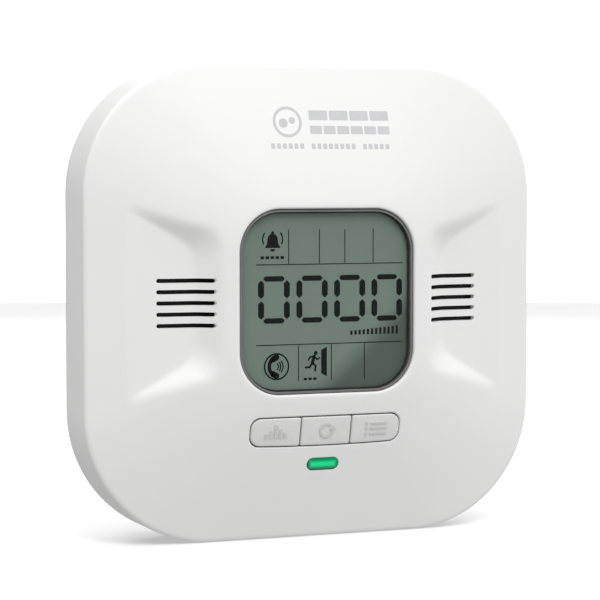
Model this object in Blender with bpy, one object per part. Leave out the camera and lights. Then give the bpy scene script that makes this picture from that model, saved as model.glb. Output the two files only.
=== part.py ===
"""Carbon monoxide alarm, battery powered, with a wall bracket.

Units are metres. The alarm stands on its flat bottom edge: +Z up, the face looks along -Y, and
the origin is under the middle of the case, on the surface that it stands on. Depths in the case
are given from the rim plane, where the domed face meets the side wall: minus is towards the face.
"""
import math

import bmesh
import bpy
from mathutils import Matrix, Vector

MM = 0.001
GAP = 0.3 * MM                      # clearance between neighbouring pieces

# Case
WIDTH = 120 * MM
HEIGHT = 118.5 * MM
CORNER = 32.5 * MM                  # corner radius of the outline
DRAFT = 0.4 * MM                    # how much the rim is smaller than the back edge
WALL_DEPTH = 15.5 * MM              # side wall, from the rim plane to its back edge
CREST = 8.9 * MM                    # dome height at the window, in front of the rim plane
BULGE = 1.15                        # 1 is a straight slope from the window to the rim
EDGE = 1.2 * MM                     # rounding between face and side wall
SHELL = 2.0 * MM                    # moulding thickness
PLATEAU = 23.0 * MM                 # depth of the flat back face
PLATEAU_INSET = 5.2 * MM
BRACKET_BACK = 26.5 * MM            # depth of the face that lies on the wall
RIM_Y = (CREST - BRACKET_BACK) / 2  # puts the middle of the depth on the origin
AROUND_SIDE = 7                     # points along each straight side of an outline
AROUND_ARC = 7                      # points round each corner of an outline

# Window and display
LENS_HALF = 23.0 * MM
LENS_HALF_TALL = 22.65 * MM
LENS_RADIUS = 10.5 * MM
LENS_Z = 59.5 * MM
LENS_FRONT = -8.2 * MM
LENS_THICK = 1.0 * MM
WELL_BACK = -7.0 * MM               # back end of the opening that holds the lens
WELL_THIN = 0.5 * MM                # how much thinner the moulding is round the opening
GASKET_WIDTH, GASKET_THICK = 0.9 * MM, 0.2 * MM
GLASS_FRONT = LENS_FRONT + LENS_THICK + GASKET_THICK + 2 * GAP
GLASS_HALF = 22.6 * MM
GLASS_THICK = 2.2 * MM
ZEBRA_TALL = 2.4 * MM

# Vents
SLOT_IN, SLOT_OUT = 28.5 * MM, 42.5 * MM
SLOT_TALL = 1.05 * MM
SLOT_PITCH = 2.73 * MM
SLOT_COUNT = 5
SCOOP_TIP = (49.8 * MM, 23.4 * MM)  # outer tips of the scooped field round the vents
SCOOP_IN = 27.6 * MM                # where the field's inner ramp starts
SCOOP_FLOOR = 33.0 * MM             # where its floor starts
RIDGE_LEAN = 0.275                  # how the upper and lower ridges close in towards the window
VALLEY_LEAN = 0.595                 # and the edges of the floor below them
RAMP_SLOPE = 0.6

# Buttons and status light
STRIP_HALF = 20.0 * MM
STRIP_LOW, STRIP_HIGH = 23.95 * MM, 31.25 * MM
STRIP_BOW = 0.45 * MM
STRIP_RADIUS = 2.6 * MM
BUTTON_GAP = 0.35 * MM
BUTTON_PROUD = 0.25 * MM
BUTTON_NAMES = ("left", "middle", "right")
PIPE_Z = 18.85 * MM
PIPE_HALF, PIPE_HALF_TALL = 4.1 * MM, 1.45 * MM

# Board
BOARD_FRONT = -0.3 * MM
BOARD_THICK = 1.6 * MM
BOARD_HALF = 36.0 * MM
BOARD_LOW, BOARD_HIGH = 14.0 * MM, 105.0 * MM
BOARD_WAIST = 28.0 * MM
WAIST_LOW, WAIST_HIGH = 47.0 * MM, 72.0 * MM
BOARD_BACK = BOARD_FRONT + BOARD_THICK
BOARD_SCREWS = [(x * MM, z * MM) for x in (-31, 31) for z in (18, 101)]
CASE_SCREWS = [(x * MM, z * MM) for x in (-43, 43) for z in (24, 95)]

# Batteries, standard AA cells lying across the case
CELL_RADIUS = 7.2 * MM
CELL_LONG = 50.0 * MM
CELL_PITCH = 15.5 * MM
CELL_Z = 18.5 * MM                  # lowest cell
CELL_DEPTH = 13.7 * MM
CELL_SHIFT = 2.9 * MM               # each cell lies nearer to its positive contact
TRAY_HALF = 29.6 * MM
TRAY_LOW, TRAY_HIGH = 10.9 * MM, 57.1 * MM
TRAY_FLOOR = 6.2 * MM
TRAY_WALL = 3.2 * MM

# Battery door, hinged on two stub pins at its lower edge
DOOR_HALF = 31.6 * MM
DOOR_THICK = 1.7 * MM
DOOR_HIGH = 59.0 * MM
HINGE_Z = 10.3 * MM
HINGE_DEPTH = PLATEAU - DOOR_THICK / 2
PIN_RADIUS = 0.7 * MM
PIN_LONG = 1.6 * MM

# Wall bracket, held by four hooks in keyholes
BRACKET_HALF = 36.0 * MM
BRACKET_LOW, BRACKET_HIGH = 69.0 * MM, 110.0 * MM
HOOKS = [(x * MM, z * MM) for x in (-25, 25) for z in (77, 98)]
HOOK_STEM = 4.0 * MM
HOOK_HEAD = 9.0 * MM
SCREW_SLOT = 1.95 * MM              # half width of the slots for the wall screws
UNHOOK = 8.0 * MM                   # how far the bracket slides down to come off

# Sounder and sensor
SOUNDER_X, SOUNDER_Z = 44.0 * MM, 59.5 * MM
SOUNDER_RADIUS = 10.5 * MM
SENSOR_X, SENSOR_Z = -20.0 * MM, 92.0 * MM
SENSOR_RADIUS = 8.5 * MM


def deep(depth):
    """World y of a depth from the rim plane."""
    return RIM_Y + depth


def finish(name, colour, roughness, metallic=0.0):
    material = bpy.data.materials.get(name) or bpy.data.materials.new(name)
    material.use_nodes = True
    shader = material.node_tree.nodes["Principled BSDF"]
    shader.inputs["Base Color"].default_value = (*colour, 1.0)
    shader.inputs["Roughness"].default_value = roughness
    shader.inputs["Metallic"].default_value = metallic
    return material


def add_object(name, bm, material=None):
    """Links a bmesh as an object, with its faces pointing out and its round sides smooth."""
    bmesh.ops.recalc_face_normals(bm, faces=bm.faces)
    mesh = bpy.data.meshes.new(name)
    bm.to_mesh(mesh)
    bm.free()
    obj = bpy.data.objects.new(name, mesh)
    bpy.context.scene.collection.objects.link(obj)
    if material:
        mesh.materials.append(material)
    mesh.shade_smooth()
    mesh.set_sharp_from_angle(angle=math.radians(35))
    return obj


def outline(half, low, high, radius):
    """Points (x, z) round a rounded rectangle, the same number for every size."""
    middle, half_tall = (low + high) / 2, (high - low) / 2
    corners = ((1, 1), (-1, 1), (-1, -1), (1, -1))
    points = []
    for quarter, (sx, sz) in enumerate(corners):
        cx, cz = sx * (half - radius), middle + sz * (half_tall - radius)
        for k in range(AROUND_ARC + 1):
            angle = math.pi / 2 * (quarter + k / AROUND_ARC)
            points.append((cx + radius * math.cos(angle), cz + radius * math.sin(angle)))
        nx, nz = corners[(quarter + 1) % 4]
        angle = math.pi / 2 * (quarter + 1)
        start = Vector(points[-1])
        end = Vector((nx * (half - radius) + radius * math.cos(angle),
                      middle + nz * (half_tall - radius) + radius * math.sin(angle)))
        for k in range(1, AROUND_SIDE):
            points.append(tuple(start.lerp(end, k / AROUND_SIDE)))
    return points


def loft(name, rings, material=None, ring_shaped=False):
    """Skins rings of points; the ends are capped, or joined when it is ring_shaped."""
    bm = bmesh.new()
    rows = [[bm.verts.new(p) for p in ring] for ring in rings]
    count = len(rows[0])
    pairs = list(zip(rows, rows[1:]))
    if ring_shaped:
        pairs.append((rows[-1], rows[0]))
    for a, b in pairs:
        for k in range(count):
            n = (k + 1) % count
            bm.faces.new((a[k], a[n], b[n], b[k]))
    if not ring_shaped:
        bm.faces.new(rows[0])
        bm.faces.new(rows[-1][::-1])
    return add_object(name, bm, material)


def prism(name, points, front, back, material=None):
    """A flat plate of the outline (x, z), between two depths."""
    rings = [[(x, deep(d), z) for x, z in points] for d in (front, back)]
    return loft(name, rings, material)


def box(name, x, depth, z, material=None):
    """A box given by its ranges in x, depth and z."""
    points = [(x[0], z[0]), (x[1], z[0]), (x[1], z[1]), (x[0], z[1])]
    return prism(name, points, depth[0], depth[1], material)


def circle(x, z, radius, count=16):
    step = 2 * math.pi / count
    return [(x + radius * math.cos(k * step), z + radius * math.sin(k * step))
            for k in range(count)]


def turned(name, x, z, profile, material=None, count=16):
    """A solid turned about an axis along Y, from (radius, depth) pairs, front to back."""
    rings = [[(px, deep(d), pz) for px, pz in circle(x, z, r, count)] for r, d in profile]
    return loft(name, rings, material)


def combine(obj, other, operation):
    """Applies a Boolean with another object, which is used up."""
    modifier = obj.modifiers.new("cut", "BOOLEAN")
    modifier.operation = operation
    modifier.solver = "EXACT"
    modifier.object = other
    graph = bpy.context.evaluated_depsgraph_get()
    mesh = bpy.data.meshes.new_from_object(obj.evaluated_get(graph))
    obj.modifiers.clear()
    old = obj.data
    obj.data = mesh
    mesh.name = obj.name
    bpy.data.meshes.remove(old)
    bpy.data.objects.remove(other)
    mesh.shade_smooth()
    mesh.set_sharp_from_angle(angle=math.radians(35))


def cut(obj, other):
    combine(obj, other, "DIFFERENCE")


def join(obj, other):
    combine(obj, other, "UNION")


def put_origin(obj, point):
    """Moves an object's origin to a point, and leaves its shape where it is."""
    obj.data.transform(Matrix.Translation(-Vector(point)))
    obj.location = point


# ---------------------------------------------------------------- the face

def smooth(t):
    t = min(max(t, 0.0), 1.0)
    return t * t * (3 - 2 * t)


def scoop(x, z):
    """How far the field round the vents lies below the dome.

    Its floor is flatter than the dome and meets it at the two outer tips. A ramp of constant
    slope leads up from the floor to a ridge, which runs from each tip to the inner side.
    """
    x, v = abs(x), abs(z - LENS_Z)
    ridge = SCOOP_TIP[1] + RIDGE_LEAN * (x - SCOOP_TIP[0])
    valley = SCOOP_TIP[1] + VALLEY_LEAN * (x - SCOOP_TIP[0])
    ramp = ridge - valley
    if ramp <= 0:
        return 0.0
    along = (ridge - v) / ramp
    inner = (x - SCOOP_IN) / (SCOOP_FLOOR - SCOOP_IN)
    return RAMP_SLOPE * ramp * filleted(soft_least(along, inner, 0.7))


def soft_least(a, b, blend):
    """The lesser of two values, with a rounded change from one to the other."""
    h = max(blend - abs(a - b), 0.0) / blend
    return min(a, b) - h * h * blend / 4


def filleted(t, blend=0.3):
    """A straight rise from 0 to 1, rounded at its foot and its top."""
    return soft_least(-soft_least(-t, 0.0, blend), 1.0, blend)


def dome_outline(s):
    """Outline of the face at s: 0 is round the window, 1 is the rim."""
    inner = (LENS_HALF + 0.8 * MM, LENS_Z - LENS_HALF_TALL - 0.8 * MM,
             LENS_Z + LENS_HALF_TALL + 0.8 * MM, LENS_RADIUS + 0.8 * MM)
    outer = (WIDTH / 2 - DRAFT - EDGE, EDGE, HEIGHT - DRAFT - EDGE, CORNER - EDGE)
    return [a + (b - a) * s for a, b in zip(inner, outer)]


def dome_ring(s, under=0.0):
    """One ring of the face, or of a surface that lies under it."""
    height = CREST * (1 - s ** BULGE)
    return [(x, deep(scoop(x, z) + under - height), z) for x, z in outline(*dome_outline(s))]


def inner_ring(s):
    """One ring of the inner side of the face, where the moulding is thinner near the window."""
    return dome_ring(s, SHELL - WELL_THIN * (1 - smooth(4 * s)))


def face_depth(z):
    """Depth of the face below the window, where it slopes in z only."""
    low, rim = dome_outline(0)[1], dome_outline(1)[1]
    s = (low - z) / (low - rim)
    return -CREST * (1 - s ** BULGE)


def flat_ring(half, low, high, radius, depth):
    return [(x, deep(depth), z) for x, z in outline(half, low, high, radius)]


def lens_ring(grow, depth):
    return flat_ring(LENS_HALF + grow, LENS_Z - LENS_HALF_TALL - grow,
                     LENS_Z + LENS_HALF_TALL + grow, LENS_RADIUS + grow, depth)


def case_ring(inset, depth, draft=0.0):
    """Ring of the side wall: the sides and the top lean in by draft, the bottom is flat."""
    return flat_ring(WIDTH / 2 - draft - inset, inset, HEIGHT - draft - inset,
                     CORNER - inset, depth)


def strip_outline(x0, x1, grow=0.0, rise=0.0):
    """Outline of the button strip between x0 and x1; only its own two ends are rounded."""
    def low(x):
        return STRIP_LOW - STRIP_BOW * (1 - (x / STRIP_HALF) ** 2) - grow - rise
    high = STRIP_HIGH + grow + rise
    points = []
    for side, x in ((-1, x0), (1, x1)):
        rounded = abs(x) > STRIP_HALF - 1 * MM
        r = STRIP_RADIUS if rounded else 0.3 * MM
        cx = x - side * r
        quarter = [math.pi / 2 * k / 4 for k in range(5)]
        lower = [(cx + side * r * math.sin(a), low(cx) + r - r * math.cos(a)) for a in quarter]
        upper = [(cx + side * r * math.cos(a), high - r + r * math.sin(a)) for a in quarter]
        ring = lower + upper
        points.append(ring if side > 0 else ring[::-1])
    left, right = points
    mid = (x0 + x1) / 2
    return left + [(mid, low(mid))] + right + [(mid, high)]


def make_front_cover():
    plastic = finish("white_front_moulding", (0.80, 0.80, 0.80), 0.42)
    steps = (0.0, 0.05, 0.14, 0.24, 0.36, 0.48, 0.60, 0.72, 0.84, 0.93, 1.0)
    rings = [lens_ring(GAP, WELL_BACK), lens_ring(GAP, LENS_FRONT - 0.2 * MM)]
    rings += [dome_ring(s) for s in steps]
    rings += [case_ring(0.3 * EDGE, 0.3 * EDGE, DRAFT), case_ring(0, EDGE, DRAFT),
              case_ring(0, WALL_DEPTH), case_ring(SHELL, WALL_DEPTH),
              case_ring(SHELL, SHELL + EDGE, DRAFT)]
    rings += [inner_ring(s) for s in steps[-2:0:-1]]
    cover = loft("front_cover", rings, plastic, ring_shaped=True)

    for x, z in CASE_SCREWS:
        join(cover, turned("boss", x, z, [(3.8 * MM, -0.6 * MM), (3.4 * MM, 8.3 * MM)]))
        cut(cover, turned("pilot", x, z, [(1.6 * MM, 2.0 * MM), (1.6 * MM, 9 * MM)], count=12))
    for x, z in BOARD_SCREWS:
        join(cover, turned("post", x, z, [(2.6 * MM, -3.1 * MM), (2.4 * MM, -0.6 * MM)]))
        cut(cover, turned("pilot", x, z, [(1.2 * MM, -2.6 * MM), (1.2 * MM, 0)], count=12))
    collar = turned("collar", SOUNDER_X, SOUNDER_Z,
                    [(SOUNDER_RADIUS + 1.3 * MM, 0.2 * MM), (SOUNDER_RADIUS + 1.3 * MM, 5 * MM)],
                    count=24)
    cut(collar, turned("bore", SOUNDER_X, SOUNDER_Z,
                       [(SOUNDER_RADIUS + GAP, -3 * MM), (SOUNDER_RADIUS + GAP, 6 * MM)],
                       count=24))
    join(cover, collar)

    for side in (-1, 1):
        x = sorted((side * SLOT_IN, side * SLOT_OUT))
        for k in range(SLOT_COUNT):
            z = LENS_Z + (k - (SLOT_COUNT - 1) / 2) * SLOT_PITCH
            cut(cover, box("slot", x, (-9 * MM, 1 * MM), (z - SLOT_TALL / 2, z + SLOT_TALL / 2)))
    cut(cover, prism("strip", strip_outline(-STRIP_HALF, STRIP_HALF), -10 * MM, -2 * MM))
    cut(cover, prism("pipe_hole", pill(GAP), -8 * MM, 0))
    return cover


def pill(grow=0.0):
    """Outline of the status light."""
    r = PIPE_HALF_TALL + grow
    points = []
    for side in (1, -1):
        cx = side * (PIPE_HALF - PIPE_HALF_TALL)
        for k in range(9):
            angle = math.pi * (k / 8 - 0.5)
            points.append((cx + side * r * math.cos(angle), PIPE_Z + side * r * math.sin(angle)))
    return points


# ---------------------------------------------------------------- the display

def make_lens():
    acrylic = finish("clear_acrylic", (0.55, 0.60, 0.57), 0.08)
    bevel = 0.7 * MM
    rings = [lens_ring(-bevel, LENS_FRONT), lens_ring(0, LENS_FRONT + bevel),
             lens_ring(0, LENS_FRONT + LENS_THICK)]
    loft("lcd_lens", rings, acrylic)


def make_lens_gasket():
    foam = finish("black_foam", (0.03, 0.03, 0.03), 0.9)
    front, back = GLASS_FRONT - GAP - GASKET_THICK, GLASS_FRONT - GAP
    rings = [lens_ring(0, front), lens_ring(0, back), lens_ring(-GASKET_WIDTH, back),
             lens_ring(-GASKET_WIDTH, front)]
    loft("lens_gasket", rings, foam, ring_shaped=True)


def make_display():
    low, high = LENS_Z - GLASS_HALF, LENS_Z + GLASS_HALF
    back = GLASS_FRONT + GLASS_THICK
    floor = BOARD_FRONT - GAP
    glass = finish("lcd_glass", (0.17, 0.22, 0.19), 0.15)
    box("lcd_glass", (-GLASS_HALF, GLASS_HALF), (GLASS_FRONT, back), (low, high), glass)
    diffuser = finish("milky_diffuser", (0.85, 0.88, 0.84), 0.5)
    box("backlight_diffuser", (-GLASS_HALF, GLASS_HALF), (back + GAP, floor),
        (low + ZEBRA_TALL + GAP, high), diffuser)
    rubber = finish("zebra_rubber", (0.45, 0.20, 0.16), 0.8)
    box("zebra_connector", (-21 * MM, 21 * MM), (back + GAP, floor), (low, low + ZEBRA_TALL), rubber)
    frame_plastic = finish("natural_frame_plastic", (0.70, 0.70, 0.66), 0.5)
    inner, wide = GLASS_HALF + GAP, GLASS_HALF + 2.0 * MM
    front = GLASS_FRONT + 0.8 * MM
    frame = box("lcd_frame", (-wide, wide), (front, floor), (low - 2 * MM, high + 2 * MM),
                frame_plastic)
    cut(frame, box("inside", (-inner, inner), (front - 1 * MM, floor + 1 * MM),
                   (low - GAP, high + GAP)))


# ---------------------------------------------------------------- buttons and light

def make_buttons():
    cap = finish("white_button", (0.78, 0.78, 0.78), 0.4)
    can = finish("switch_base", (0.05, 0.05, 0.055), 0.5)
    stem = finish("switch_stem", (0.16, 0.10, 0.07), 0.45)
    third = 2 * STRIP_HALF / 3
    flange_front, flange_back = -3.9 * MM, -3.1 * MM
    for k, name in enumerate(BUTTON_NAMES):
        x0, x1 = -STRIP_HALF + k * third, -STRIP_HALF + (k + 1) * third
        x0 += GAP if k == 0 else BUTTON_GAP / 2
        x1 -= GAP if k == 2 else BUTTON_GAP / 2
        edge = strip_outline(x0, x1, -GAP)
        flange = strip_outline(x0, x1, -GAP, 1.2 * MM)
        inner = strip_outline(x0 + 0.4 * MM, x1 - 0.4 * MM, -GAP - 0.4 * MM)
        lip = [(x, deep(face_depth(z) - BUTTON_PROUD + 0.35 * MM), z) for x, z in edge]
        top = [(x, deep(face_depth(z) - BUTTON_PROUD), z) for x, z in inner]
        rings = [[(x, deep(flange_back), z) for x, z in flange],
                 [(x, deep(flange_front), z) for x, z in flange],
                 [(x, deep(flange_front), z) for x, z in edge], lip, top]
        mid_x, mid_z = (x0 + x1) / 2, (STRIP_LOW + STRIP_HIGH) / 2
        button = loft("button_" + name, rings, cap)
        put_origin(button, (mid_x, deep(flange_back), mid_z))

        base_front, base_back = -2.2 * MM, BOARD_FRONT - GAP
        base = box("switch_base_" + name, (mid_x - 2.6 * MM, mid_x + 2.6 * MM),
                   (base_front, base_back), (mid_z - 2.6 * MM, mid_z + 2.6 * MM), can)
        cut(base, turned("bore", mid_x, mid_z,
                         [(1.5 * MM, base_front - 1 * MM), (1.5 * MM, -1.1 * MM)]))
        plunger = turned("switch_plunger_" + name, mid_x, mid_z,
                         [(1.0 * MM, flange_back + GAP), (1.2 * MM, flange_back + 1.5 * GAP),
                          (1.2 * MM, -1.9 * MM)], stem)
        put_origin(plunger, (mid_x, deep(-1.9 * MM), mid_z))


def make_status_light():
    clear = finish("green_light_pipe", (0.05, 0.55, 0.25), 0.25)
    rim = [(x, deep(face_depth(z) + 0.15 * MM), z) for x, z in pill()]
    top = [(0.9 * x, deep(face_depth(z) - 0.1 * MM), PIPE_Z + 0.8 * (z - PIPE_Z))
           for x, z in pill()]
    back = [(0.8 * x, deep(-1.9 * MM), z) for x, z in pill()]
    loft("light_pipe", [back, rim, top], clear)
    chip = finish("led_chip", (0.85, 0.85, 0.60), 0.3)
    box("status_led", (-1.6 * MM, 1.6 * MM), (-1.6 * MM, BOARD_FRONT - GAP),
        (PIPE_Z - 0.8 * MM, PIPE_Z + 0.8 * MM), chip)


# ---------------------------------------------------------------- the board

def make_board():
    laminate = finish("green_laminate", (0.03, 0.18, 0.08), 0.45)
    right = [(BOARD_HALF, BOARD_LOW), (BOARD_HALF, WAIST_LOW), (BOARD_WAIST, WAIST_LOW),
             (BOARD_WAIST, WAIST_HIGH), (BOARD_HALF, WAIST_HIGH), (BOARD_HALF, BOARD_HIGH)]
    points = right + [(-x, z) for x, z in right[::-1]]
    board = prism("main_board", points, BOARD_FRONT, BOARD_BACK, laminate)
    for x, z in BOARD_SCREWS:
        cut(board, turned("hole", x, z, [(1.3 * MM, BOARD_FRONT - MM), (1.3 * MM, BOARD_BACK + MM)],
                          count=12))


def make_screw(name, x, z, seat, head, shank, length):
    """A pan-head screw whose head sits on the depth seat and whose point is in front of it."""
    steel = finish("zinc_screw", (0.62, 0.62, 0.60), 0.3, 1.0)
    top = seat + 0.65 * head
    profile = [(0.45 * shank, seat - length), (shank, seat - length + 0.8 * shank), (shank, seat),
               (head, seat), (head, seat + 0.35 * head), (0.62 * head, top)]
    screw = turned(name, x, z, profile, steel, count=12)
    for wide, tall in ((0.95, 0.2), (0.2, 0.95)):
        w, t = wide * 0.55 * head, tall * 0.55 * head
        cut(screw, box("cross", (x - w, x + w), (seat + 0.3 * head, top + MM), (z - t, z + t)))


def make_screws():
    for k, (x, z) in enumerate(BOARD_SCREWS):
        make_screw(f"board_screw_{k + 1}", x, z, BOARD_BACK + GAP, 2.0 * MM, 0.9 * MM, 3.9 * MM)
    for k, (x, z) in enumerate(CASE_SCREWS):
        make_screw(f"case_screw_{k + 1}", x, z, 11.3 * MM, 2.6 * MM, 1.3 * MM, 9 * MM)


def make_components():
    back = BOARD_BACK + GAP
    package = finish("black_package", (0.02, 0.02, 0.022), 0.5)
    box("microcontroller", (2 * MM, 12 * MM), (back, back + 1.5 * MM), (66 * MM, 76 * MM), package)
    box("alarm_driver_chip", (18 * MM, 23 * MM), (back, back + 1.5 * MM), (76 * MM, 80 * MM), package)
    sleeve = finish("capacitor_sleeve", (0.02, 0.03, 0.10), 0.4)
    for k, (x, z) in enumerate(((22 * MM, 88 * MM), (10 * MM, 98 * MM))):
        turned(f"capacitor_{k + 1}", x, z,
               [(3.6 * MM, back), (4.0 * MM, back + 0.6 * MM), (4.0 * MM, back + 9 * MM),
                (3.4 * MM, back + 9.6 * MM)], sleeve)
    ferrite = finish("dark_ferrite", (0.06, 0.06, 0.06), 0.7)
    turned("sounder_coil", 8 * MM, 86 * MM,
           [(4.5 * MM, back), (4.5 * MM, back + 1.2 * MM), (3.6 * MM, back + 1.5 * MM),
            (3.6 * MM, back + 5 * MM), (4.5 * MM, back + 5.3 * MM), (4.5 * MM, back + 6.5 * MM)],
           ferrite)


def make_sensor():
    steel = finish("sensor_steel", (0.60, 0.60, 0.58), 0.3, 1.0)
    back = BOARD_BACK + GAP
    r = SENSOR_RADIUS
    turned("sensor_can", SENSOR_X, SENSOR_Z,
           [(r - 0.8 * MM, back), (r, back + 0.8 * MM), (r, back + 9 * MM),
            (r - 0.8 * MM, back + 9.8 * MM)], steel, count=24)
    nylon = finish("sensor_cap", (0.75, 0.72, 0.62), 0.6)
    cap = turned("sensor_filter_cap", SENSOR_X, SENSOR_Z,
                 [(r - 0.8 * MM, back + 10.1 * MM), (r - 0.8 * MM, back + 12 * MM),
                  (r - 1.8 * MM, back + 13 * MM)], nylon, count=24)
    cut(cap, turned("inlet", SENSOR_X, SENSOR_Z, [(1.5 * MM, back + 9 * MM), (1.5 * MM, back + 14 * MM)],
                    count=12))


def make_sounder():
    plastic = finish("black_sounder", (0.03, 0.03, 0.03), 0.45)
    r, front, back = SOUNDER_RADIUS, 2.2 * MM, 9.5 * MM
    house = turned("sounder_housing", SOUNDER_X, SOUNDER_Z, [(r, front), (r, back)], plastic, 24)
    cut(house, turned("chamber", SOUNDER_X, SOUNDER_Z,
                      [(r - 1.2 * MM, front - MM), (r - 1.2 * MM, back - 1.2 * MM)], count=24))
    cut(house, turned("vent", SOUNDER_X, SOUNDER_Z, [(1.5 * MM, back - 2 * MM), (1.5 * MM, back + MM)],
                      count=12))
    brass = finish("piezo_brass", (0.75, 0.55, 0.20), 0.3, 1.0)
    turned("piezo_disc", SOUNDER_X, SOUNDER_Z,
           [(r - 1.5 * MM, 5.0 * MM), (r - 1.5 * MM, 5.3 * MM), (r - 3.6 * MM, 5.3 * MM),
            (r - 3.6 * MM, 5.6 * MM)], brass, 24)


def make_vent_screens():
    """Dust screens, flat and leaning with the floor of the scooped fields."""
    mesh_grey = finish("screen_grey", (0.05, 0.05, 0.05), 0.6)
    near, far = (SLOT_IN - 0.8 * MM, -1.75 * MM), (SLOT_OUT + 0.8 * MM, -0.72 * MM)
    low, high = LENS_Z - 8 * MM, LENS_Z + 8 * MM
    corners = ((near, low), (far, low), (far, high), (near, high))
    for side, name in ((-1, "left"), (1, "right")):
        rings = [[(side * x, deep(depth + back), z) for (x, depth), z in corners]
                 for back in (0, 0.4 * MM)]
        loft(f"vent_screen_{name}", rings, mesh_grey)


def tube(name, points, radius, material, sides=2):
    """A wire through points, as a bevelled curve with closed ends."""
    curve = bpy.data.curves.new(name, "CURVE")
    curve.dimensions = "3D"
    curve.bevel_depth = radius
    curve.bevel_resolution = sides
    curve.use_fill_caps = True
    spline = curve.splines.new("POLY")
    spline.points.add(len(points) - 1)
    for target, point in zip(spline.points, points):
        target.co = (*point, 1.0)
    curve.materials.append(material)
    obj = bpy.data.objects.new(name, curve)
    bpy.context.scene.collection.objects.link(obj)
    return obj


def bezier(a, b, c, d, count=10):
    """Points along a cubic curve from a to d."""
    points = []
    for k in range(count + 1):
        t = k / count
        u = 1 - t
        points.append([u ** 3 * p + 3 * u * u * t * q + 3 * u * t * t * r + t ** 3 * s
                       for p, q, r, s in zip(a, b, c, d)])
    return [(x, deep(depth), z) for x, depth, z in points]


def make_wires():
    """Two leads to the sounder and two from the battery contacts, ending clear of the pads."""
    pad = BOARD_BACK + GAP + 0.6 * MM
    for side, name, tint in ((-1, "red", (0.5, 0.02, 0.02)), (1, "black", (0.02, 0.02, 0.02))):
        wire = finish(f"{name}_wire", tint, 0.45)
        offset = side * 2.2 * MM
        pad_z = WAIST_HIGH + 6 * MM + offset
        tube(f"sounder_wire_{name}",
             bezier((31 * MM, pad, pad_z), (31 * MM, 14 * MM, pad_z),
                    (SOUNDER_X, 15 * MM, SOUNDER_Z + 10 * MM + offset),
                    (SOUNDER_X - 2 * MM, 10.4 * MM, SOUNDER_Z + offset)), 0.5 * MM, wire, 1)
        outer, inner = side * (TRAY_HALF + TRAY_WALL + 2.0 * MM), side * (BOARD_WAIST - 1.5 * MM)
        top = TRAY_HIGH + 12 * MM
        tube(f"battery_wire_{name}",
             bezier((outer, 12 * MM, 50 * MM), (outer, 14 * MM, top),
                    (inner, 14 * MM, top), (inner, pad, top)), 0.6 * MM, wire, 1)


# ---------------------------------------------------------------- batteries

def cell_places():
    """Middle of each cell, and the side of its positive end."""
    for k in range(3):
        side = -1 if k % 2 == 0 else 1
        yield side, CELL_Z + k * CELL_PITCH


def along_x(name, profile, z, material, count=16):
    """A solid turned about the axis of a cell, from (radius, x) pairs."""
    rings = [[(x, deep(CELL_DEPTH + r * math.cos(2 * math.pi * k / count)),
               z + r * math.sin(2 * math.pi * k / count)) for k in range(count)]
             for r, x in profile]
    return loft(name, rings, material)


def make_cells():
    jacket = finish("battery_jacket", (0.10, 0.10, 0.11), 0.35, 0.4)
    for k, (side, z) in enumerate(cell_places()):
        plus = side * (CELL_LONG / 2 + CELL_SHIFT)
        body = plus - side * 1.4 * MM
        minus = plus - side * CELL_LONG
        r, edge = CELL_RADIUS, 0.5 * MM
        profile = [(r - edge, minus), (r, minus + side * edge), (r, body - side * edge),
                   (r - edge, body), (2.75 * MM, body), (2.5 * MM, plus)]
        along_x(f"battery_{k + 1}", profile, z, jacket)


def make_contacts():
    nickel = finish("nickel_contact", (0.62, 0.60, 0.56), 0.3, 1.0)
    wall = TRAY_HALF - GAP
    thick = 0.4 * MM
    front, back = CELL_DEPTH - 5 * MM, CELL_DEPTH + 5 * MM
    half = 6 * MM
    z1, z2, z3 = (z for side, z in cell_places())
    plates = (("contact_positive", -1, z1, z1), ("contact_bridge_right", 1, z1, z2),
              ("contact_bridge_left", -1, z2, z3), ("contact_negative", 1, z3, z3))
    for name, side, low, high in plates:
        x = sorted((side * wall, side * (wall - thick)))
        box(name, x, (front, back), (low - half, high + half), nickel)
    turns, steps = 3.0, 12
    for k, (side, z) in enumerate(cell_places()):
        start = -side * (CELL_LONG / 2 - CELL_SHIFT + 0.7 * MM)
        end = -side * (wall - thick - 0.75 * MM)
        count = int(turns * steps)
        points = []
        for n in range(count + 1):
            t = n / count
            r = (2.4 + 2.4 * smooth(t)) * MM
            angle = 2 * math.pi * turns * t
            points.append((start + (end - start) * t, deep(CELL_DEPTH + r * math.cos(angle)),
                           z + r * math.sin(angle)))
        tube(f"battery_spring_{k + 1}", points, 0.35 * MM, nickel, 0)


# ---------------------------------------------------------------- the back

def plate_outline(inset):
    """Outline inside the side wall of the front cover, shrunk by inset."""
    edge = SHELL + GAP + inset
    return outline(WIDTH / 2 - edge, edge, HEIGHT - edge, CORNER - edge)


def back_ring(inset, depth):
    return [(x, deep(depth), z) for x, z in plate_outline(inset)]


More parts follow.
